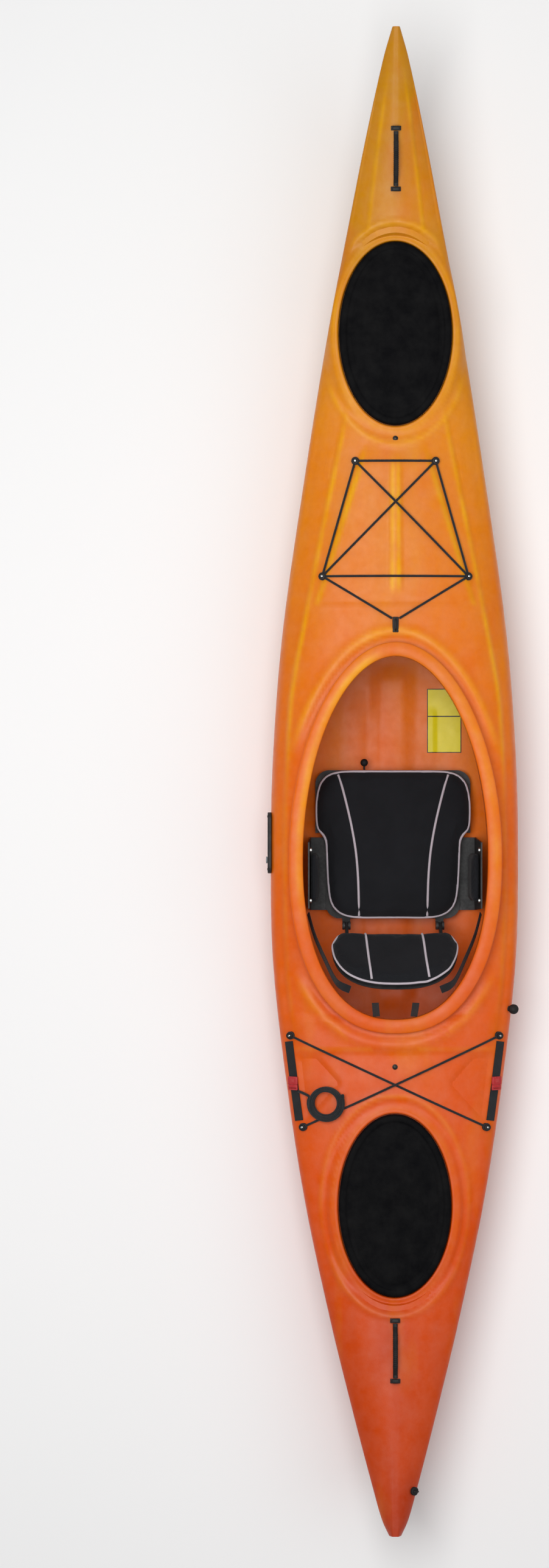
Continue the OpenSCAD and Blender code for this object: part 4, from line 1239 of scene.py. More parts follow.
class StageOperator(bpy.types.Operator):
    """Set up the floor, the soft lights and the camera"""

    bl_idname = "kayak.stage"
    bl_label = "Stage"

    def execute(self, context):
        bm = bmesh.new()
        bmesh.ops.create_grid(bm, x_segments=8, y_segments=8, size=9000)
        floor = piece(bm, "floor", None, finish("floor_paper"))
        for name, size, spot, aim, power_w in (
            ("key_light", 4.0, (0.2, 1.0, 5.9), (0, 0, 0.2), 225),
            ("fill_light", 6.0, (-0.8, -3.0, 5.0), (0, 0, 0.2), 60),
            ("head_light", 3.0, (4.6, 0.6, 4.4), (0.3, 0, 0.2), 32),
        ):
            lamp = bpy.data.lights.new(name, "AREA")
            lamp.shape = "DISK"
            lamp.size = size
            lamp.energy = power_w
            holder = bpy.data.objects.new(name, lamp)
            holder.location = spot
            holder.rotation_euler = (Vector(aim) - Vector(spot)).to_track_quat("-Z", "Y").to_euler()
            context.scene.collection.objects.link(holder)
        world = bpy.data.worlds.new("studio")
        context.scene.world = world
        world.use_nodes = True
        background = world.node_tree.nodes["Background"]
        background.inputs["Color"].default_value = (1, 1, 1, 1)
        background.inputs["Strength"].default_value = 0.25
        lens = bpy.data.cameras.new("camera")
        camera = bpy.data.objects.new("camera", lens)
        context.scene.collection.objects.link(camera)
        far = sizes().camera_distance
        deck_level, view_height, view_middle = 0.25, 4.038, 0.31
        lens.sensor_fit = "VERTICAL"
        lens.sensor_height = 36
        lens.lens = 36 * far / view_height
        lens.clip_end = 60
        camera.location = (0, view_middle, deck_level + far)
        camera.rotation_euler = (0, 0, math.radians(-90))
        context.scene.camera = camera
        context.scene.view_settings.view_transform = "Standard"
        return {"FINISHED"}


class HullOperator(bpy.types.Operator):
    """Model the moulded hull with its deck relief, coaming, hatch rims and lining"""

    bl_idname = "kayak.hull"
    bl_label = "Hull"

    def execute(self, context):
        model_hull()
        return {"FINISHED"}


class HatchCoversOperator(bpy.types.Operator):
    """Model the two rubber hatch covers"""

    bl_idname = "kayak.hatch_covers"
    bl_label = "Hatch covers"

    def execute(self, context):
        steps = 120
        for name, (at, top) in HATCHES.items():
            low = top - COVER_SKIRT
            bm = bmesh.new()
            profile = [
                (-8.2, low + 3), (-6, low), (-1.5, low), (-0.4, low + 1.2), (0, low + 4),
                (0, top - 7), (-0.5, top - 4.2), (-2.2, top - 1.6), (-5, top - 0.4), (-9, top),
                (-15, top - 0.1), (-17.5, top - 0.8), (-19.5, top - 2), (-22, top - 2.4),
                (-30, top - 2.4), (-33, top - 1.7), (-36, top - 1.1), (-60, top - 0.7),
                (-100, top - 0.3), (-130, top - 0.1), (-142, top),
            ]
            under = [
                (-140, top - 5), (-30, top - 6.5), (-12, top - 5.4), (-6.2, top - 5.4),
                (-5.6, top - 7), (-5.6, low + 6), (-8.2, low + 5),
            ]
            turns = [2 * math.pi * i / steps for i in range(steps)]
            rings = [[(*hatch_point(name, a, r), z) for a in turns] for r, z in profile]
            loop = None
            first = None
            for ring in rings:
                loop = start(bm, ring) if loop is None else carry(bm, loop, ring)
                first = first or loop
            close(bm, loop)
            inner = first
            for r, z in reversed(under):
                inner = carry(bm, inner, [(*hatch_point(name, a, r), z) for a in turns])
            close(bm, inner)
            piece(
                bm, f"{name}_cover_rubber", f"{name}_cover", finish("hatch_rubber"),
                [f"{name}_hatch_cover"],
            )
        return {"FINISHED"}


def arc(centre, radius, first, last, steps):
    return [
        (
            centre[0] + radius * math.cos(math.radians(first + (last - first) * i / steps)),
            centre[1] + radius * math.sin(math.radians(first + (last - first) * i / steps)),
        )
        for i in range(steps + 1)
    ]


def mirrored(half):
    """A closed outline from its port half, which runs from front to rear."""
    return [Vector(p) for p in half] + [Vector((x, -y)) for x, y in reversed(half[1:-1])]


def shrunk(outline, inset):
    """An outline moved inwards, point by point."""
    found = []
    count = len(outline)
    for i, p in enumerate(outline):
        t = (outline[(i + 1) % count] - outline[i - 1]).normalized()
        n = Vector((t.y, -t.x))
        found.append(p - n * inset if is_left_turning(outline) else p + n * inset)
    return found


def is_left_turning(outline):
    return sum(a.cross(b) for a, b in zip(outline, outline[1:] + outline[:1])) > 0


def pillow(name, outline, low, high, voxel=5.0, swell=None, inset=4.0):
    """A stuffed shape: a soft block, remeshed and blown up as cloth, flat where it rests."""
    swell = sizes().cushion_swell / MM if swell is None else swell
    bm = bmesh.new()
    steps = [(inset + 4, low), (inset, low + 3), (inset, high - 5), (inset + 4, high - 2)]
    loop, first = None, None
    for r, z in steps:
        points = [(*p, z) for p in shrunk(outline, r)]
        loop = start(bm, points) if loop is None else carry(bm, loop, points)
        first = first or loop
    close(bm, loop)
    close(bm, list(reversed(first)))
    bmesh.ops.scale(bm, vec=(MM, MM, MM), verts=bm.verts)
    bmesh.ops.recalc_face_normals(bm, faces=bm.faces)
    mesh = bpy.data.meshes.new(name)
    bm.to_mesh(mesh)
    bm.free()
    obj = bpy.data.objects.new(name, mesh)
    bpy.context.scene.collection.objects.link(obj)
    remesh = obj.modifiers.new("Remesh", "REMESH")
    remesh.mode = "VOXEL"
    remesh.voxel_size = voxel * MM
    keep_evaluated(obj)
    obj.modifiers.clear()
    rest = [v.co.copy() for v in obj.data.vertices]
    inflate(obj)
    for vertex, was in zip(obj.data.vertices, rest):
        moved = vertex.co - was
        most = swell * MM
        if moved.length > most:
            vertex.co = was + moved * (most / moved.length)
        vertex.co.z = max(vertex.co.z, low * MM)
    return obj


def keep_evaluated(obj):
    evaluated = obj.evaluated_get(bpy.context.evaluated_depsgraph_get())
    obj.data = bpy.data.meshes.new_from_object(evaluated)


def inflate(obj):
    cloth_modifier = obj.modifiers.new("Cloth", "CLOTH")
    settings = cloth_modifier.settings
    settings.use_pressure = True
    settings.uniform_pressure_force = 4
    settings.effector_weights.gravity = 0
    settings.quality = 5
    cloth_modifier.point_cache.frame_start = 1
    cloth_modifier.point_cache.frame_end = 20
    for number in range(1, 21):
        bpy.context.scene.frame_set(number)
    keep_evaluated(obj)
    obj.modifiers.clear()
    bpy.context.scene.frame_set(1)


def sew(obj, lines, depth, width):
    """Pulls a pillow's upper side down along its seams, and lets the cover ripple beside them."""
    for vertex in obj.data.vertices:
        x, y, z = (c / MM for c in vertex.co)
        near = min(distance_to(line, x, y) for line in lines)
        pull = depth * hump(near, width)
        ripple = 0.7 * noise.noise(Vector((x * 0.03, y * 0.045, 3.0)))
        ripple += 0.5 * hump(near, 20) * noise.noise(Vector((x * 0.16, y * 0.16, 9.0)))
        vertex.co.z += (ripple - pull) * MM * (1 if vertex.normal.z > 0.3 else 0)


def distance_to(line, x, y):
    best = 1e9
    for a, b in zip(line, line[1:]):
        dx, dy = b[0] - a[0], b[1] - a[1]
        t = ((x - a[0]) * dx + (y - a[1]) * dy) / max(1e-9, dx * dx + dy * dy)
        t = min(1, max(0, t))
        best = min(best, math.hypot(x - a[0] - t * dx, y - a[1] - t * dy))
    return best


def pipe_on(obj, seams, outline, level):
    """Piping along a pillow's seams and round its side at one level."""
    tree = BVHTree.FromPolygons(
        [v.co / MM for v in obj.data.vertices], [p.vertices[:] for p in obj.data.polygons]
    )
    radius = sizes().piping_radius / MM
    bm = bmesh.new()
    for seam in seams:
        path = []
        for x, y in seam:
            hit = tree.ray_cast(Vector((x, y, 500)), Vector((0, 0, -1)))[0]
            if hit is not None:
                path.append(hit + Vector((0, 0, 0.5 * radius)))
        tube(bm, relaxed(path, False), radius, 8)
    path = []
    for x, y in outline:
        hit, normal, _, _ = tree.find_nearest(Vector((x, y, level)))
        path.append(hit + normal * 0.4 * radius)
    path = relaxed(path, True)
    tube(bm, path + path[:2], radius, 8)
    return bm


def relaxed(path, closed):
    """A path with its small kinks eased out."""
    for _ in range(3):
        path = [
            (path[i - 1] + 2 * path[i] + path[(i + 1) % len(path)]) / 4
            if closed or 0 < i < len(path) - 1 else path[i]
            for i in range(len(path))
        ]
    return path


def set_in_place(obj, place, body, material, replaces, subdivision=1):
    """Moves a pillow modelled flat to its place, and gives it its finish and its body."""
    if place:
        scaled = place.copy()
        scaled.translation = scaled.translation * MM
        obj.data.transform(scaled)
    dress(obj, material, 60)
    if subdivision:
        smoother = obj.modifiers.new("Smooth", "SUBSURF")
        smoother.levels = subdivision
        smoother.render_levels = subdivision
    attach(obj, body)
    if replaces:
        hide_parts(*replaces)
    return obj


SEAT_HALF = [
    (44, 0), (44, 40), (44, 80), (43.5, 115), (42, 140), (37, 163), (26, 183), (8, 197), (-14, 205),
    (-40, 209.5), (-70, 211), (-98, 210.5), (-116, 208), (-127, 201), (-133, 192), (-143, 186),
    (-165, 184.5), (-200, 183.5), (-240, 181.5), (-280, 178), (-308, 173), (-328, 164),
    (-343, 150), (-353, 131), (-358, 108), (-360, 80), (-360, 40), (-360, 0),
]
SEAT_LOW, SEAT_HIGH = 46.3, 80.3
SEAT_SEAM = [
    (37, 149), (5, 137), (-40, 125), (-90, 113), (-130, 105), (-180, 97), (-240, 92), (-300, 90),
    (-353, 89),
]
BACK_LOW = Vector((-396.0, 0, 212.3))
BACK_LEAN = math.radians(45)
BACK_HALF_WIDTH, BACK_LENGTH = 168.0, 185.0
HINGE = (-370.0, 96.3)


def back_place():
    """The backrest lies in its own plane: X runs up its slope, Z stands off its face."""
    up = Vector((-math.sin(BACK_LEAN), 0, math.cos(BACK_LEAN)))
    out = Vector((math.cos(BACK_LEAN), 0, math.sin(BACK_LEAN)))
    side = out.cross(up)
    place = Matrix.Identity(4)
    for i, axis in enumerate((up, side, out)):
        for j in range(3):
            place[j][i] = axis[j]
    place.translation = BACK_LOW
    return place


class SeatOperator(bpy.types.Operator):
    """Model the stuffed seat and backrest with their piping, and the hip pads"""

    bl_idname = "kayak.seat"
    bl_label = "Seat"

    def execute(self, context):
        outline = [Vector(p) for p in even(mirrored(SEAT_HALF), 7)]
        seat = pillow("seat_cushion_cover", outline, SEAT_LOW, SEAT_HIGH)
        seams = [spline_flat(SEAT_SEAM, 4), spline_flat([(x, -y) for x, y in SEAT_SEAM], 4)]
        edge = [tuple(p) for p in shrunk(outline, 7)]
        sew(seat, seams + [edge + edge[:1]], 4.0, 6.0)
        bm = pipe_on(seat, seams, outline, SEAT_HIGH - 9)
        piece(bm, "seat_piping", "hull", finish("piping_cord"))
        set_in_place(seat, None, "hull", finish("seat_cloth"), ["seat_cushion"])
        place = back_place()
        w = BACK_HALF_WIDTH
        half = [(2, 0), (2, 60), (1, 110), (2, 140), (8, 152)] + [
            (26 + (BACK_LENGTH - 27) * power(math.sin(a), 0.8), w * power(math.cos(a), 0.8))
            for a in (math.radians(v) for v in range(4, 87, 6))
        ] + [(BACK_LENGTH - 1, 0)]
        outline = [Vector(p) for p in even(mirrored(half), 6)]
        back = pillow("backrest_cover", outline, 0.4, 32.0, swell=7.0, inset=2.0)
        seams = [
            spline_flat([(8, -76), (60, -72), (120, -67), (172, -61)], 8),
            spline_flat([(8, 70), (60, 75), (120, 80), (160, 86)], 8),
        ]
        edge = [tuple(p) for p in shrunk(outline, 7)]
        sew(back, seams + [edge + edge[:1]], 3.5, 6.0)
        bm = pipe_on(back, seams, outline, 15)
        bmesh.ops.transform(bm, matrix=place, verts=bm.verts)
        piece(bm, "backrest_piping", "backrest", finish("piping_cord"))
        set_in_place(
            back, place, "backrest", finish("backrest_cloth"), ["backrest_pad"]
        )
        self.back_shell(place, mirrored(half))
        for side, name in ((1, "port"), (-1, "starboard")):
            low, high = (Vector(v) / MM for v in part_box(f"hip_pad_{name}"))
            middle = (low + high) / 2
            span, tall, deep = high.x - low.x, high.z - low.z, high.y - low.y
            shape = [Vector(p) for p in even(rounded(span, tall * 0.98, 16), 6)]
            pad = pillow(f"hip_pad_{name}_cover", shape, -9, 9, swell=4.0, inset=3.0, voxel=4.0)
            sew(pad, [[tuple(p) for p in shrunk(shape, 9)] + [tuple(shrunk(shape, 9)[0])]], 1.6, 4.0)
            lean = math.atan2(deep - 22, tall)
            turn = Matrix.Rotation(side * math.pi / 2, 4, "X")
            tilt = Matrix.Rotation(-side * lean, 4, "X")
            stand = Matrix.Translation(middle) @ tilt @ turn
            set_in_place(
                pad, stand, "hull", finish("backrest_cloth"), [f"hip_pad_{name}"]
            )
        return {"FINISHED"}

    def back_shell(self, place, outline):
        """The moulded plate behind the backrest, on its two hinged arms."""
        bm = bmesh.new()
        outline = even([Vector(p) for p in outline], 7)
        layers = [(9, -6), (5.6, -5.2), (5, -3), (5.6, -0.6), (7, 0)]
        stack(bm, [[place @ Vector((*p, z)) for p in shrunk(outline, inset)] for inset, z in layers])
        foot = arc(HINGE, 9, 180, 360, 10)
        top = [place @ Vector((x, 0, z)) for x, z in ((3, -2), (60, -2), (46, -13), (4, -13))]
        side_view = [Vector(p) for p in foot] + [Vector((p.x, p.z)) for p in top]
        for side in (1, -1):
            stack(
                bm,
                [
                    [(p.x, side * y, p.y) for p in shrunk(side_view, inset)]
                    for inset, y in ((0.9, 118), (0, 118.9), (0, 125.1), (0.9, 126))
                ],
            )
        piece(
            bm, "backrest_shell", "backrest", finish("black_plastic"), ["backrest_plate"]
        )


def stack(bm, rings):
    """A solid through closed rings, one on the other."""
    loop = start(bm, rings[0])
    close(bm, list(reversed(loop)))
    for ring in rings[1:]:
        loop = carry(bm, loop, ring)
    close(bm, loop)


def rounded(span, tall, r):
    """A rectangle with round corners, about the origin."""
    x, y = span / 2 - r, tall / 2 - r
    points = []
    for cx, cy, a in ((x, y, 0), (-x, y, 90), (-x, -y, 180), (x, -y, 270)):
        points += arc((cx, cy), r, a, a + 90, 6)
    return [Vector(p) for p in points]


def even(outline, step):
    """A closed outline again, with points an even step apart."""
    points = [Vector(p) for p in outline]
    lengths = [(b - a).length for a, b in zip(points, points[1:] + points[:1])]
    total = sum(lengths)
    count = max(8, round(total / step))
    found, i, gone = [], 0, 0.0
    for k in range(count):
        want = total * k / count
        while gone + lengths[i] < want:
            gone += lengths[i]
            i += 1
        t = (want - gone) / max(1e-9, lengths[i])
        found.append(points[i].lerp(points[(i + 1) % len(points)], t))
    return found


def spline_flat(points, steps):
    return [(p.x, p.y) for p in spline([(x, y, 0) for x, y in points], steps)]


# ---------------------------------------------------------------- deck fittings

FORE_BUTTONS = [(828, 102), (532, 185)]
AFT_BUTTONS = [(-648, 266), (-884, 234)]
BUTTON_HEIGHT, POST_RADIUS, CORD_LIFT = 15.0, 4.5, 8.0
PAD_EYE = (408, 0)
HANDLES = {"bow": 1596.0, "stern": -1455.0}
HANDLE_SPAN, HANDLE_RISE, HANDLE_LIFT = 146.0, 17.0, 9.0
WEBBING_WIDTH = 25.0
BUCKLE_X = -772.0
COIL = (-822.0, 178.0)
LEASH_RADIUS = 3.5


def fitted(x, y, lift=0.0):
    """The frame of a fitting on the deck, on top of the relief there."""
    return on_deck(x, y, lift + relief(x, y)[0])


def half_turn(profile, rounding):
    """A turned profile with its outer corners eased by a couple of points each."""
    found = [profile[0]]
    for before, p, after in zip(profile, profile[1:], profile[2:]):
        a, b, c = Vector(before), Vector(p), Vector(after)
        r = min(rounding, (a - b).length / 2.2, (c - b).length / 2.2)
        near, far = b + (a - b).normalized() * r, b + (c - b).normalized() * r
        found += [tuple(near), tuple((near + far + 2 * b) / 4), tuple(far)]
    return found + [profile[-1]]


def button(bm, x, y):
    h = BUTTON_HEIGHT
    profile = half_turn(
        [(0, -2), (10, -2), (10, 2.2), (5.6, 3.6), (POST_RADIUS, 5.5), (POST_RADIUS, h - 4.4),
         (8.5, h - 3.2), (8.5, h - 0.4), (4.4, h + 0.3), (3.5, h - 1.2), (0, h - 1.2)], 0.9,
    )
    turned(bm, profile, fitted(x, y), 32)


def screw_head(bm, place, radius, height):
    """A domed head with a hexagonal socket."""
    profile = [
        (0, height * 0.3), (radius * 0.42, height * 0.3), (radius * 0.45, height * 0.9),
        (radius * 0.72, height * 0.82), (radius * 0.95, height * 0.5), (radius, 0), (0, 0),
    ]
    turned(bm, profile, place, 24)


class DeckFittingsOperator(bpy.types.Operator):
    """Model the bungee buttons, the pad eye and their screws"""

    bl_idname = "kayak.deck_fittings"
    bl_label = "Deck fittings"

    def execute(self, context):
        for name, places in (("foredeck", FORE_BUTTONS), ("aftdeck", AFT_BUTTONS)):
            bm = bmesh.new()
            for x, y in places:
                button(bm, x, y)
            both_sides(bm)
            piece(
                bm, f"{name}_cleats", "hull", finish("black_plastic"), [f"{name}_buttons"],
            )
        bm = bmesh.new()
        for x, y in FORE_BUTTONS + AFT_BUTTONS:
            screw_head(bm, fitted(x, y, BUTTON_HEIGHT - 1.2), 3.1, 1.4)
        both_sides(bm)
        piece(
            bm, "cleat_screws", "hull", finish("stainless_steel"), ["fitting_screws"],
        )
        bm = bmesh.new()
        place = fitted(*PAD_EYE)
        turn = Matrix.Rotation(-math.atan2(deck_normal(*PAD_EYE).y, deck_normal(*PAD_EYE).x), 4, "Z")
        moulded(bm, (40, 16, 5), place @ turn @ Matrix.Translation((0, 0, 1.5)), 2.2, 3)
        tops = [(-13, 0, 2), (-13, 0, 8), (-11.5, 0, 11.4), (-7, 0, 13.2), (0, 0, 13.8)]
        tops += [(-x, y, z) for x, y, z in reversed(tops[:-1])]
        tube(bm, [place @ turn @ Vector(p) for p in spline(tops, 4)], 2.9, 14)
        for e in (-1, 1):
            screw_head(bm, place @ turn @ Matrix.Translation((e * 17, 0, 3.9)), 2.4, 1.0)
        piece(
            bm, "deck_pad_eye", "hull", finish("black_plastic"), ["centre_pad_eye"]
        )
        bm = bmesh.new()
        for x in (890, -724):
            profile = half_turn([(0, -1), (7, -1), (7, 2.6), (3.6, 3.2), (3.4, 6), (0, 6.2)], 0.6)
            turned(bm, profile, fitted(x - 4, 0), 28)
        piece(
            bm, "bulkhead_vents", "hull", finish("blackened_steel"), ["bulkhead_screws"]
        )
        return {"FINISHED"}


def taut(a, b, over=0.0):
    """The line of a stretched cord between two buttons, held up where the deck swells under it."""
    radius = sizes().bungee_radius / MM
    p = fitted(*a, CORD_LIFT) @ Vector()
    q = fitted(*b, CORD_LIFT) @ Vector()
    run = (q - p).length
    low = (POST_RADIUS + radius) / run
    shares = [low + (1 - 2 * low) * i / 60 for i in range(61)]
    line = []
    for t in shares:
        m = p.lerp(q, t)
        bump = over * max(0, 1 - (abs(t - 0.5) / 0.34) ** 2)
        floor = skin_z(m.x, m.y) + (radius + 0.2) / deck_normal(m.x, m.y).z + bump
        line.append((t, m.z if t in (shares[0], shares[-1]) else max(floor, m.z if bump else -1e9)))
    hull_line = []
    for point in line:
        while len(hull_line) > 1:
            (t0, z0), (t1, z1) = hull_line[-2:]
            if (z1 - z0) * (point[0] - t0) > (point[1] - z0) * (t1 - t0):
                break
            hull_line.pop()
        hull_line.append(point)
    found, i = [], 0
    for t in shares[::2]:
        while i < len(hull_line) - 2 and hull_line[i + 1][0] < t:
            i += 1
        (t0, z0), (t1, z1) = hull_line[i:i + 2]
        m = p.lerp(q, t)
        found.append(Vector((m.x, m.y, z0 + (z1 - z0) * (t - t0) / (t1 - t0))))
    return found


def loop_round(bm, x, y):
    """The cord's turn round a button's post."""
    radius = sizes().bungee_radius / MM
    place = fitted(x, y, CORD_LIFT)
    turn = [
        place @ Vector(((POST_RADIUS + radius) * math.cos(a), (POST_RADIUS + radius) * math.sin(a), 0))
        for a in (2 * math.pi * i / 20 for i in range(21))
    ]
    tube(bm, turn, radius, 10)


def other(p):
    return (p[0], -p[1])


class BungeesOperator(bpy.types.Operator):
    """Model the shock cord stretched over the fore and aft decks"""

    bl_idname = "kayak.bungees"
    bl_label = "Bungees"

    def execute(self, context):
        across_over = 2 * sizes().bungee_radius / MM + 1
        upper, lower = FORE_BUTTONS
        front = [
            (upper, other(upper), 0), (lower, other(lower), 0), (lower, other(upper), 0),
            (other(lower), upper, across_over), (lower, upper, 0), (other(lower), other(upper), 0),
            (lower, (PAD_EYE[0] + 12, 3), 0), (other(lower), (PAD_EYE[0] + 12, -3), 0),
        ]
        first, last = AFT_BUTTONS
        aft = [(first, other(last), 0), (other(first), last, across_over)]
        for name, spans, posts in (("front", front, FORE_BUTTONS), ("aft", aft, AFT_BUTTONS)):
            bm = bmesh.new()
            for a, b, over in spans:
                tube(bm, taut(a, b, over), sizes().bungee_radius / MM, 10)
            for post in posts:
                loop_round(bm, *post)
                loop_round(bm, *other(post))
            piece(
                bm, f"{name}_shock_cord", "hull", finish("bungee_braid"), [f"{name}_bungee"],
            )
        return {"FINISHED"}


class HandlesOperator(bpy.types.Operator):
    """Model the ribbed carry handles and their anchors"""

    bl_idname = "kayak.handles"
    bl_label = "Carry handles"

    def execute(self, context):
        end = HANDLE_SPAN / 2 - 12
        radius = (end**2 + HANDLE_RISE**2) / (2 * HANDLE_RISE)
        half = math.asin(end / radius)
        for name, x in HANDLES.items():
            ahead, behind = deck(x + HANDLE_SPAN / 2), deck(x - HANDLE_SPAN / 2)
            slope = math.atan((behind - ahead) / HANDLE_SPAN)
            level = Matrix.Translation((x, 0, (ahead + behind) / 2 + HANDLE_LIFT))
            place = level @ Matrix.Rotation(slope, 4, "Y")
            bow_of = [
                (radius * math.sin(a), 0, HANDLE_RISE - radius + radius * math.cos(a))
                for a in (half * (i / 60 - 1) for i in range(121))
            ]
            path = [(-end - 8.6, 0, 0.0), (-end - 5, 0, 0.0), *bow_of, (end + 5, 0, 0.0), (end + 8.6, 0, 0.0)]

            def grip(t):
                gone = abs(t - 0.5) * 2
                rib = 0.42 * math.cos(t * 2 * math.pi * 26) if gone < 0.66 else 0
                return 6.45 + rib - 0.35 * rise(0.66, 0.72, gone)

            bm = bmesh.new()
            tube(bm, [place @ Vector(p) for p in path], grip, 20)
            piece(
                bm, f"{name}_grip", f"{name}_carry_handle", finish("grip_rubber"), [f"{name}_handle"],
                angle=50,
            )
            bm = bmesh.new()
            for e in (-1, 1):
                post = Matrix.Translation((e * (end + 16), 0, -0.3))
                moulded(bm, (12, 20, 17), place @ post, 4.0, 4)
                foot = Matrix.Translation((e * (end + 16), 0, -HANDLE_LIFT + 2.2))
                moulded(bm, (12, 26, 4), place @ foot, 1.4, 3)
                screw_head(bm, place @ Matrix.Translation((e * (end + 16), 11.4, -4.8)), 1.5, 0.8)
                screw_head(bm, place @ Matrix.Translation((e * (end + 16), -11.4, -4.8)), 1.5, 0.8)
            piece(
                bm, f"{name}_grip_anchors", "hull", finish("black_plastic"), [f"{name}_handle_anchors"],
            )
        return {"FINISHED"}


def webbing_middle(x):
    return breadth(x) * 0.965 - WEBBING_WIDTH * 0.42


class WebbingOperator(bpy.types.Operator):
    """Model the gunwale webbing, its buckles, the coiled leash and the deck ball"""

    bl_idname = "kayak.webbing"
    bl_label = "Webbing and leash"

    def execute(self, context):
        thickness = 2.2
        for side, name in ((1, "port"), (-1, "starboard")):
            path, normals = [], []
            for i in range(52):
                x = -664 - 204 * i / 51
                y = webbing_middle(x)
                n = deck_normal(x, y)
                lift = 0.6 + max(0, relief(x, y)[0]) + 0.3 * math.sin(i * 0.9) ** 2
                path.append((x, side * y, deck_z(x, y) + lift * n.z))
                normals.append((n.x, side * n.y, n.z))
            bm = bmesh.new()
            strip(bm, path, normals, WEBBING_WIDTH, thickness, 0.6)
            piece(
                bm, f"{name}_webbing", "hull", finish("black_webbing"), [f"gunwale_strap_{name}"],
            )
        bm = bmesh.new()
        y = webbing_middle(BUCKLE_X)
        place = fitted(BUCKLE_X, y, thickness + 1.0)
        n = deck_normal(BUCKLE_X, y)
        turn = place @ Matrix.Rotation(-math.atan2(n.y, n.x), 4, "Z")
        moulded(bm, (21, 29, 7), turn @ Matrix.Translation((7.5, 0, 3.6)), 2.4, 3)
        moulded(bm, (9, 24, 6), turn @ Matrix.Translation((-7, 0, 3.4)), 2.0, 3)
        moulded(bm, (5, 28, 5.4), turn @ Matrix.Translation((-14.8, 0, 3.2)), 2.2, 3)
        for e in (-1, 1):
            moulded(bm, (14, 3.4, 5), turn @ Matrix.Translation((-10, e * 12.2, 3.2)), 1.4, 3)
        moulded(bm, (10, 12, 1.6), turn @ Matrix.Translation((8, 0, 7.0)), 0.7, 2)
        both_sides(bm)
        piece(
            bm, "webbing_buckles", "hull", finish("red_plastic"), ["strap_buckles"]
        )
        self.leash()
        bm = bmesh.new()
        ball = Matrix.Translation((0, 0, 13.4))
        profile = [(0, -13)] + [
            (13 * math.cos(math.radians(a)) - 0.5 * hump(a, 5), 13 * math.sin(math.radians(a)))
            for a in range(-82, 84, 4)
        ] + [(2.6, 12.7), (1.8, 11.6), (0, 11.4)]
        place = fitted(-580, -296, 0.3)
        turned(bm, profile, place @ ball, 40)
        turned(bm, half_turn([(0, -1), (7.5, -1), (7.0, 1.6), (5, 2.4), (4.6, 6), (0, 6)], 0.5), place, 28)
        piece(
            bm, "leash_ball", "hull", finish("soft_black_plastic"), ["deck_toggle"]
        )
        return {"FINISHED"}

    def leash(self):
        cx, cy = COIL
        n = deck_normal(cx, cy)
        base = deck_z(cx, cy) + (relief(cx, cy)[0] + 10.5) / n.z
        wide, tight, climb = 46.0, 31.0, LEASH_RADIUS * 2 + 0.25

        def on_coil(angle, r, high):
            dx, dy = r * math.cos(angle), r * math.sin(angle)
            return Vector((cx + dx, cy + dy, base + (high - n.x * dx - n.y * dy) / n.z))

        turns = (wide - tight) / (LEASH_RADIUS * 2 + 0.1)
        first = math.radians(80)
        path = []
        for i in range(round(turns * 32) + 1):
            gone = i / 32
            path.append(on_coil(first + 2 * math.pi * gone, wide - (LEASH_RADIUS * 2 + 0.1) * gone, 0))
        middle = first + 2 * math.pi * turns
        for i in range(1, 15):
            path.append(on_coil(middle + math.pi * 0.7 * i / 14, tight, climb * rise(0, 1, i / 14)))
        middle += math.pi * 0.7
        for i in range(1, round(turns * 32) + 1):
            gone = i / 32
            path.append(on_coil(middle + 2 * math.pi * gone, tight + (LEASH_RADIUS * 2 + 0.1) * gone, climb))
        x = BUCKLE_X - 20
        y = webbing_middle(x)
        exit_point = Vector((x, y - 8, deck_z(x, y - 8) + LEASH_RADIUS + 3.6))
        joined = on_coil(math.radians(68), wide + 0.6, 0)
        lead = spline([exit_point, exit_point.lerp(joined, 0.55) + Vector((2, 1.5, 0.4)), joined, path[0]], 5)
        path = lead[:-1] + path
        bm = bmesh.new()
        tube(bm, path, LEASH_RADIUS, 12)
        cord_piece = piece(
            bm, "coiled_leash", "hull", finish("bungee_braid"), ["strap_coil"]
        )
        tip, before = path[-1], path[-2]
        way = (tip - before).normalized()
        aim = way.to_track_quat("Z", "Y").to_matrix().to_4x4()
        bm = bmesh.new()
        knot = half_turn(
            [(0, -4), (4.2, -4), (5.4, -1.5), (4.6, 0.2), (5.6, 2), (5.0, 5), (3.4, 6.4), (0, 6.6)], 0.8
        )
        turned(bm, knot, Matrix.Translation(tip + way * 1.5) @ aim, 24)
        end = piece(bm, "leash_knot", "hull", finish("bungee_braid"))


STRAP_ROUTE = [(-334, 222, 214), (-390, 206, 236), (-450, 180, 262), (-508, 150, 290), (-527.2, 116, 308.8)]
SLIDER = (-152.0, SHEER_HEIGHT + 22)


def pill_ring(length, width, height, frame_at):
    r = width / 2
    ring = []
    for middle, a in ((length / 2 - r, -90), (-length / 2 + r, 90)):
        for i in range(17):
            t = math.radians(a + 180 * i / 16)
            ring.append(frame_at @ Vector((middle + r * math.cos(t), r * math.sin(t), height)))
    return ring


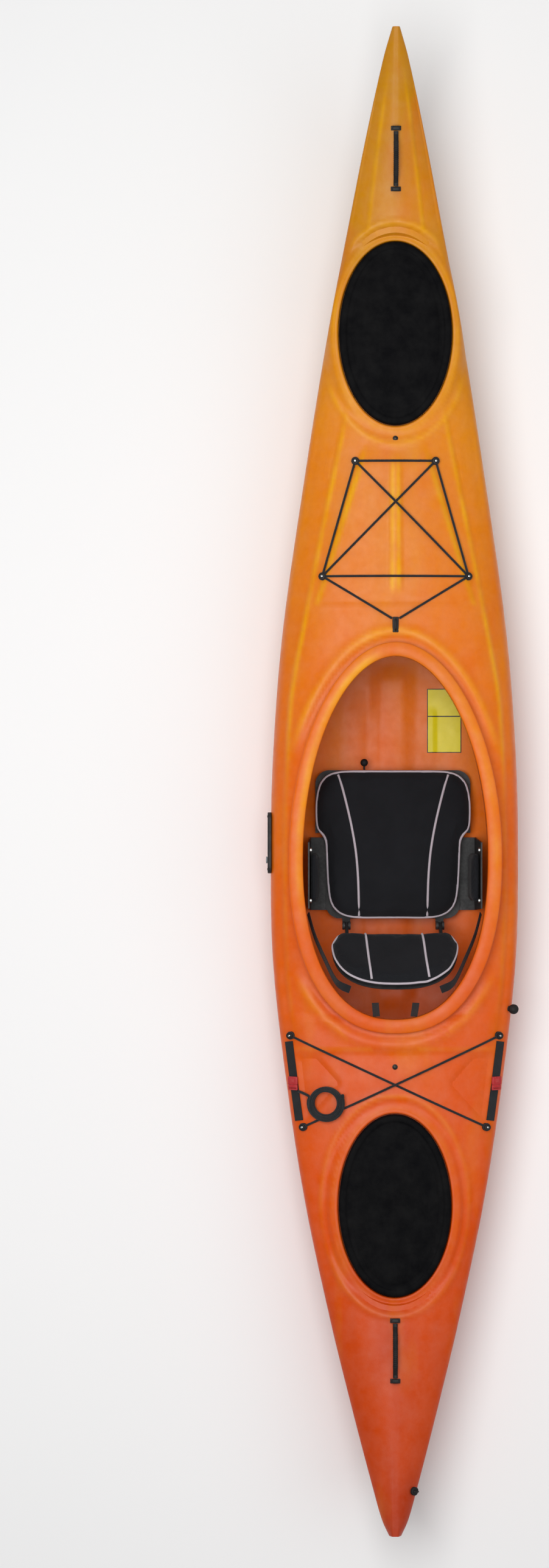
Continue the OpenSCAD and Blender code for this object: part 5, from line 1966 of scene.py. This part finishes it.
class SmallPartsOperator(bpy.types.Operator):
    """Model the skeg's slider, the drain plug, the seat's ball and straps, and the blank label"""

    bl_idname = "kayak.small_parts"
    bl_label = "Small parts"

    def execute(self, context):
        x, z = SLIDER
        place = Matrix.Translation((x, breadth(x), z)) @ Matrix.Rotation(math.radians(-90), 4, "X")
        bm = bmesh.new()
        loop = None
        for length_of, width, height in (
            (158, 36, -1), (158, 36, 5), (157.4, 35.4, 6.6), (155.6, 33.6, 7.6), (152.6, 30.6, 8),
            (118, 19, 8), (116, 17.4, 7.2), (113, 14.6, 6.8), (110.4, 12.4, 6.4), (110, 12, 5.8),
            (110, 12, 3),
        ):
            ring = pill_ring(length_of, width, height, place)
            loop = start(bm, ring) if loop is None else carry(bm, loop, ring)
            if height == -1:
                close(bm, list(reversed(loop)))
        close(bm, loop)
        for e in (-1, 1):
            screw_head(bm, place @ Matrix.Translation((e * 68, 0, 7.6)), 3.0, 1.4)
        piece(
            bm, "slider_surround", "hull", finish("black_plastic"), ["slider_housing"]
        )
        bm = bmesh.new()
        knob = half_turn(
            [(0, 3.6), (5.2, 3.6), (5.2, 8), (8.6, 8.4), (9, 11.4), (6.4, 12.4), (4.6, 11.6), (0, 11.4)], 0.7
        )
        turned(bm, knob, place @ Matrix.Translation((-44, 0, 0)), 36)
        piece(bm, "skeg_knob", "skeg_slider", finish("grey_plastic"), ["slider_knob"])
        bm = bmesh.new()
        place = on_deck(-1815, -0.8 * breadth(-1815))
        cap = half_turn(
            [(0, -6), (4.4, -6), (4.4, 2.8), (11, 2.9), (11, 10.4), (8.6, 11.2), (0, 10.6)], 0.8
        )
        turned(bm, cap, place, 40)
        moulded(bm, (17.6, 4, 6.4), place @ Matrix.Translation((0, 0, 12.6)), 1.5, 3)
        piece(bm, "drain_bung", "drain", finish("soft_black_plastic"), ["drain_plug"])
        bm = bmesh.new()
        along = Matrix.Translation((56, 75, 43)) @ Matrix.Rotation(math.radians(90), 4, "Y")
        ball = [(0, -19), (2.4, -18.8), (2.4, -10.2)] + [
            (10 * math.sin(math.radians(a)), -10 * math.cos(math.radians(a))) for a in range(16, 168, 6)
        ] + [(2.0, 9.3), (0, 9.0)]
        turned(bm, ball, along, 32)
        piece(bm, "seat_pull_ball", "hull", finish("soft_black_plastic"), ["seat_toggle"])
        self.straps()
        self.label()
        return {"FINISHED"}

    def straps(self):
        path = spline(STRAP_ROUTE, 8)
        bm = bmesh.new()
        strip(bm, path, [(0.35, 1, 0.1)] * len(path), 20, 1.8, 0.5)
        both_sides(bm)
        side = piece(
            bm, "backrest_side_straps", None, finish("black_webbing"), ["backrest_straps"]
        )
        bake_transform(side)
        path = spline([(-560, 52, 322), (-580, 50, 300), (-596, 48, 276)], 6)
        bm = bmesh.new()
        strip(bm, path, [(-0.7, 0, 0.7)] * len(path), 18, 1.8, 0.5)
        both_sides(bm)
        rear = piece(bm, "backrest_rear_straps", None, finish("black_webbing"))
        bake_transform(rear)

    def label(self):
        for name, spans, lift, look in (
            ("label_edge", [(82, 250, -180, -91)], 2.2, "label_ink"),
            ("label_panels", [(84, 176, -178, -93), (179, 248, -178, -93)], 2.6, "vinyl_label"),
        ):
            bm = bmesh.new()
            for x0, x1, y0, y1 in spans:
                made = bmesh.ops.create_grid(bm, x_segments=30, y_segments=16, size=0.5)["verts"]
                for v in made:
                    x = x0 + (x1 - x0) * (v.co.x + 0.5)
                    y = y0 + (y1 - y0) * (v.co.y + 0.5)
                    v.co = (x, y, lining_z(x, y) + lift)
            piece(bm, name, "hull", finish(look))


CARRIED = {
    "bow_bulkhead": "bulkhead_foam", "stern_bulkhead": "bulkhead_foam", "skeg_box": "black_plastic",
    "skeg_blade": "soft_black_plastic", "skeg_pin": "stainless_steel", "skeg_conduit": "soft_black_plastic",
    "seat_pan": "black_plastic", "seat_side_plates": "black_plastic", "seat_bolts": "stainless_steel",
    "backrest_pins": "stainless_steel",
    "foot_rail_port": "rail_aluminium", "foot_rail_starboard": "rail_aluminium",
    "foot_pedal_port": "soft_black_plastic", "foot_pedal_starboard": "soft_black_plastic",
    "foot_rail_screws": "blackened_steel", "drain_seat": "black_plastic",
}


class CarriedPartsOperator(bpy.types.Operator):
    """Give the plain parts inside the hull their finishes"""

    bl_idname = "kayak.carried_parts"
    bl_label = "Parts inside the hull"

    def execute(self, context):
        for name, look in CARRIED.items():
            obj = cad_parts[name]
            if not obj.material_slots:
                obj.data.materials.append(finish(look))
            for slot in obj.material_slots:
                slot.material = finish(look)
        return {"FINISHED"}


OPERATORS = (
    StageOperator,
    HullOperator,
    HatchCoversOperator,
    SeatOperator,
    DeckFittingsOperator,
    BungeesOperator,
    HandlesOperator,
    WebbingOperator,
    SmallPartsOperator,
    CarriedPartsOperator,
)


# ---------------------------------------------------------------- panel and registration


class KayakPanel(bpy.types.Panel):
    """Sizes, colours and pieces of the kayak"""

    bl_idname = "KAYAK_PT_pieces"
    bl_label = "Touring Kayak"
    bl_space_type = "VIEW_3D"
    bl_region_type = "UI"
    bl_category = "Kayak"

    def draw(self, context):
        for group_of in (context.scene.kayak_sizes, context.scene.kayak_colours):
            box = self.layout.box()
            for key in group_of.__annotations__:
                box.prop(group_of, key)
        for operator in OPERATORS:
            self.layout.operator(operator.bl_idname)


CLASSES = (KayakSizes, KayakColours, *OPERATORS, KayakPanel)


def register():
    for cls in CLASSES:
        bpy.utils.register_class(cls)
    bpy.types.Scene.kayak_sizes = bpy.props.PointerProperty(type=KayakSizes)
    bpy.types.Scene.kayak_colours = bpy.props.PointerProperty(type=KayakColours)


def unregister():
    del bpy.types.Scene.kayak_colours
    del bpy.types.Scene.kayak_sizes
    for cls in reversed(CLASSES):
        bpy.utils.unregister_class(cls)


def main():
    register()
    for operator in OPERATORS:
        call = bpy.ops
        for part in operator.bl_idname.split("."):
            call = getattr(call, part)
        call()


if __name__ == "__main__":
    main()
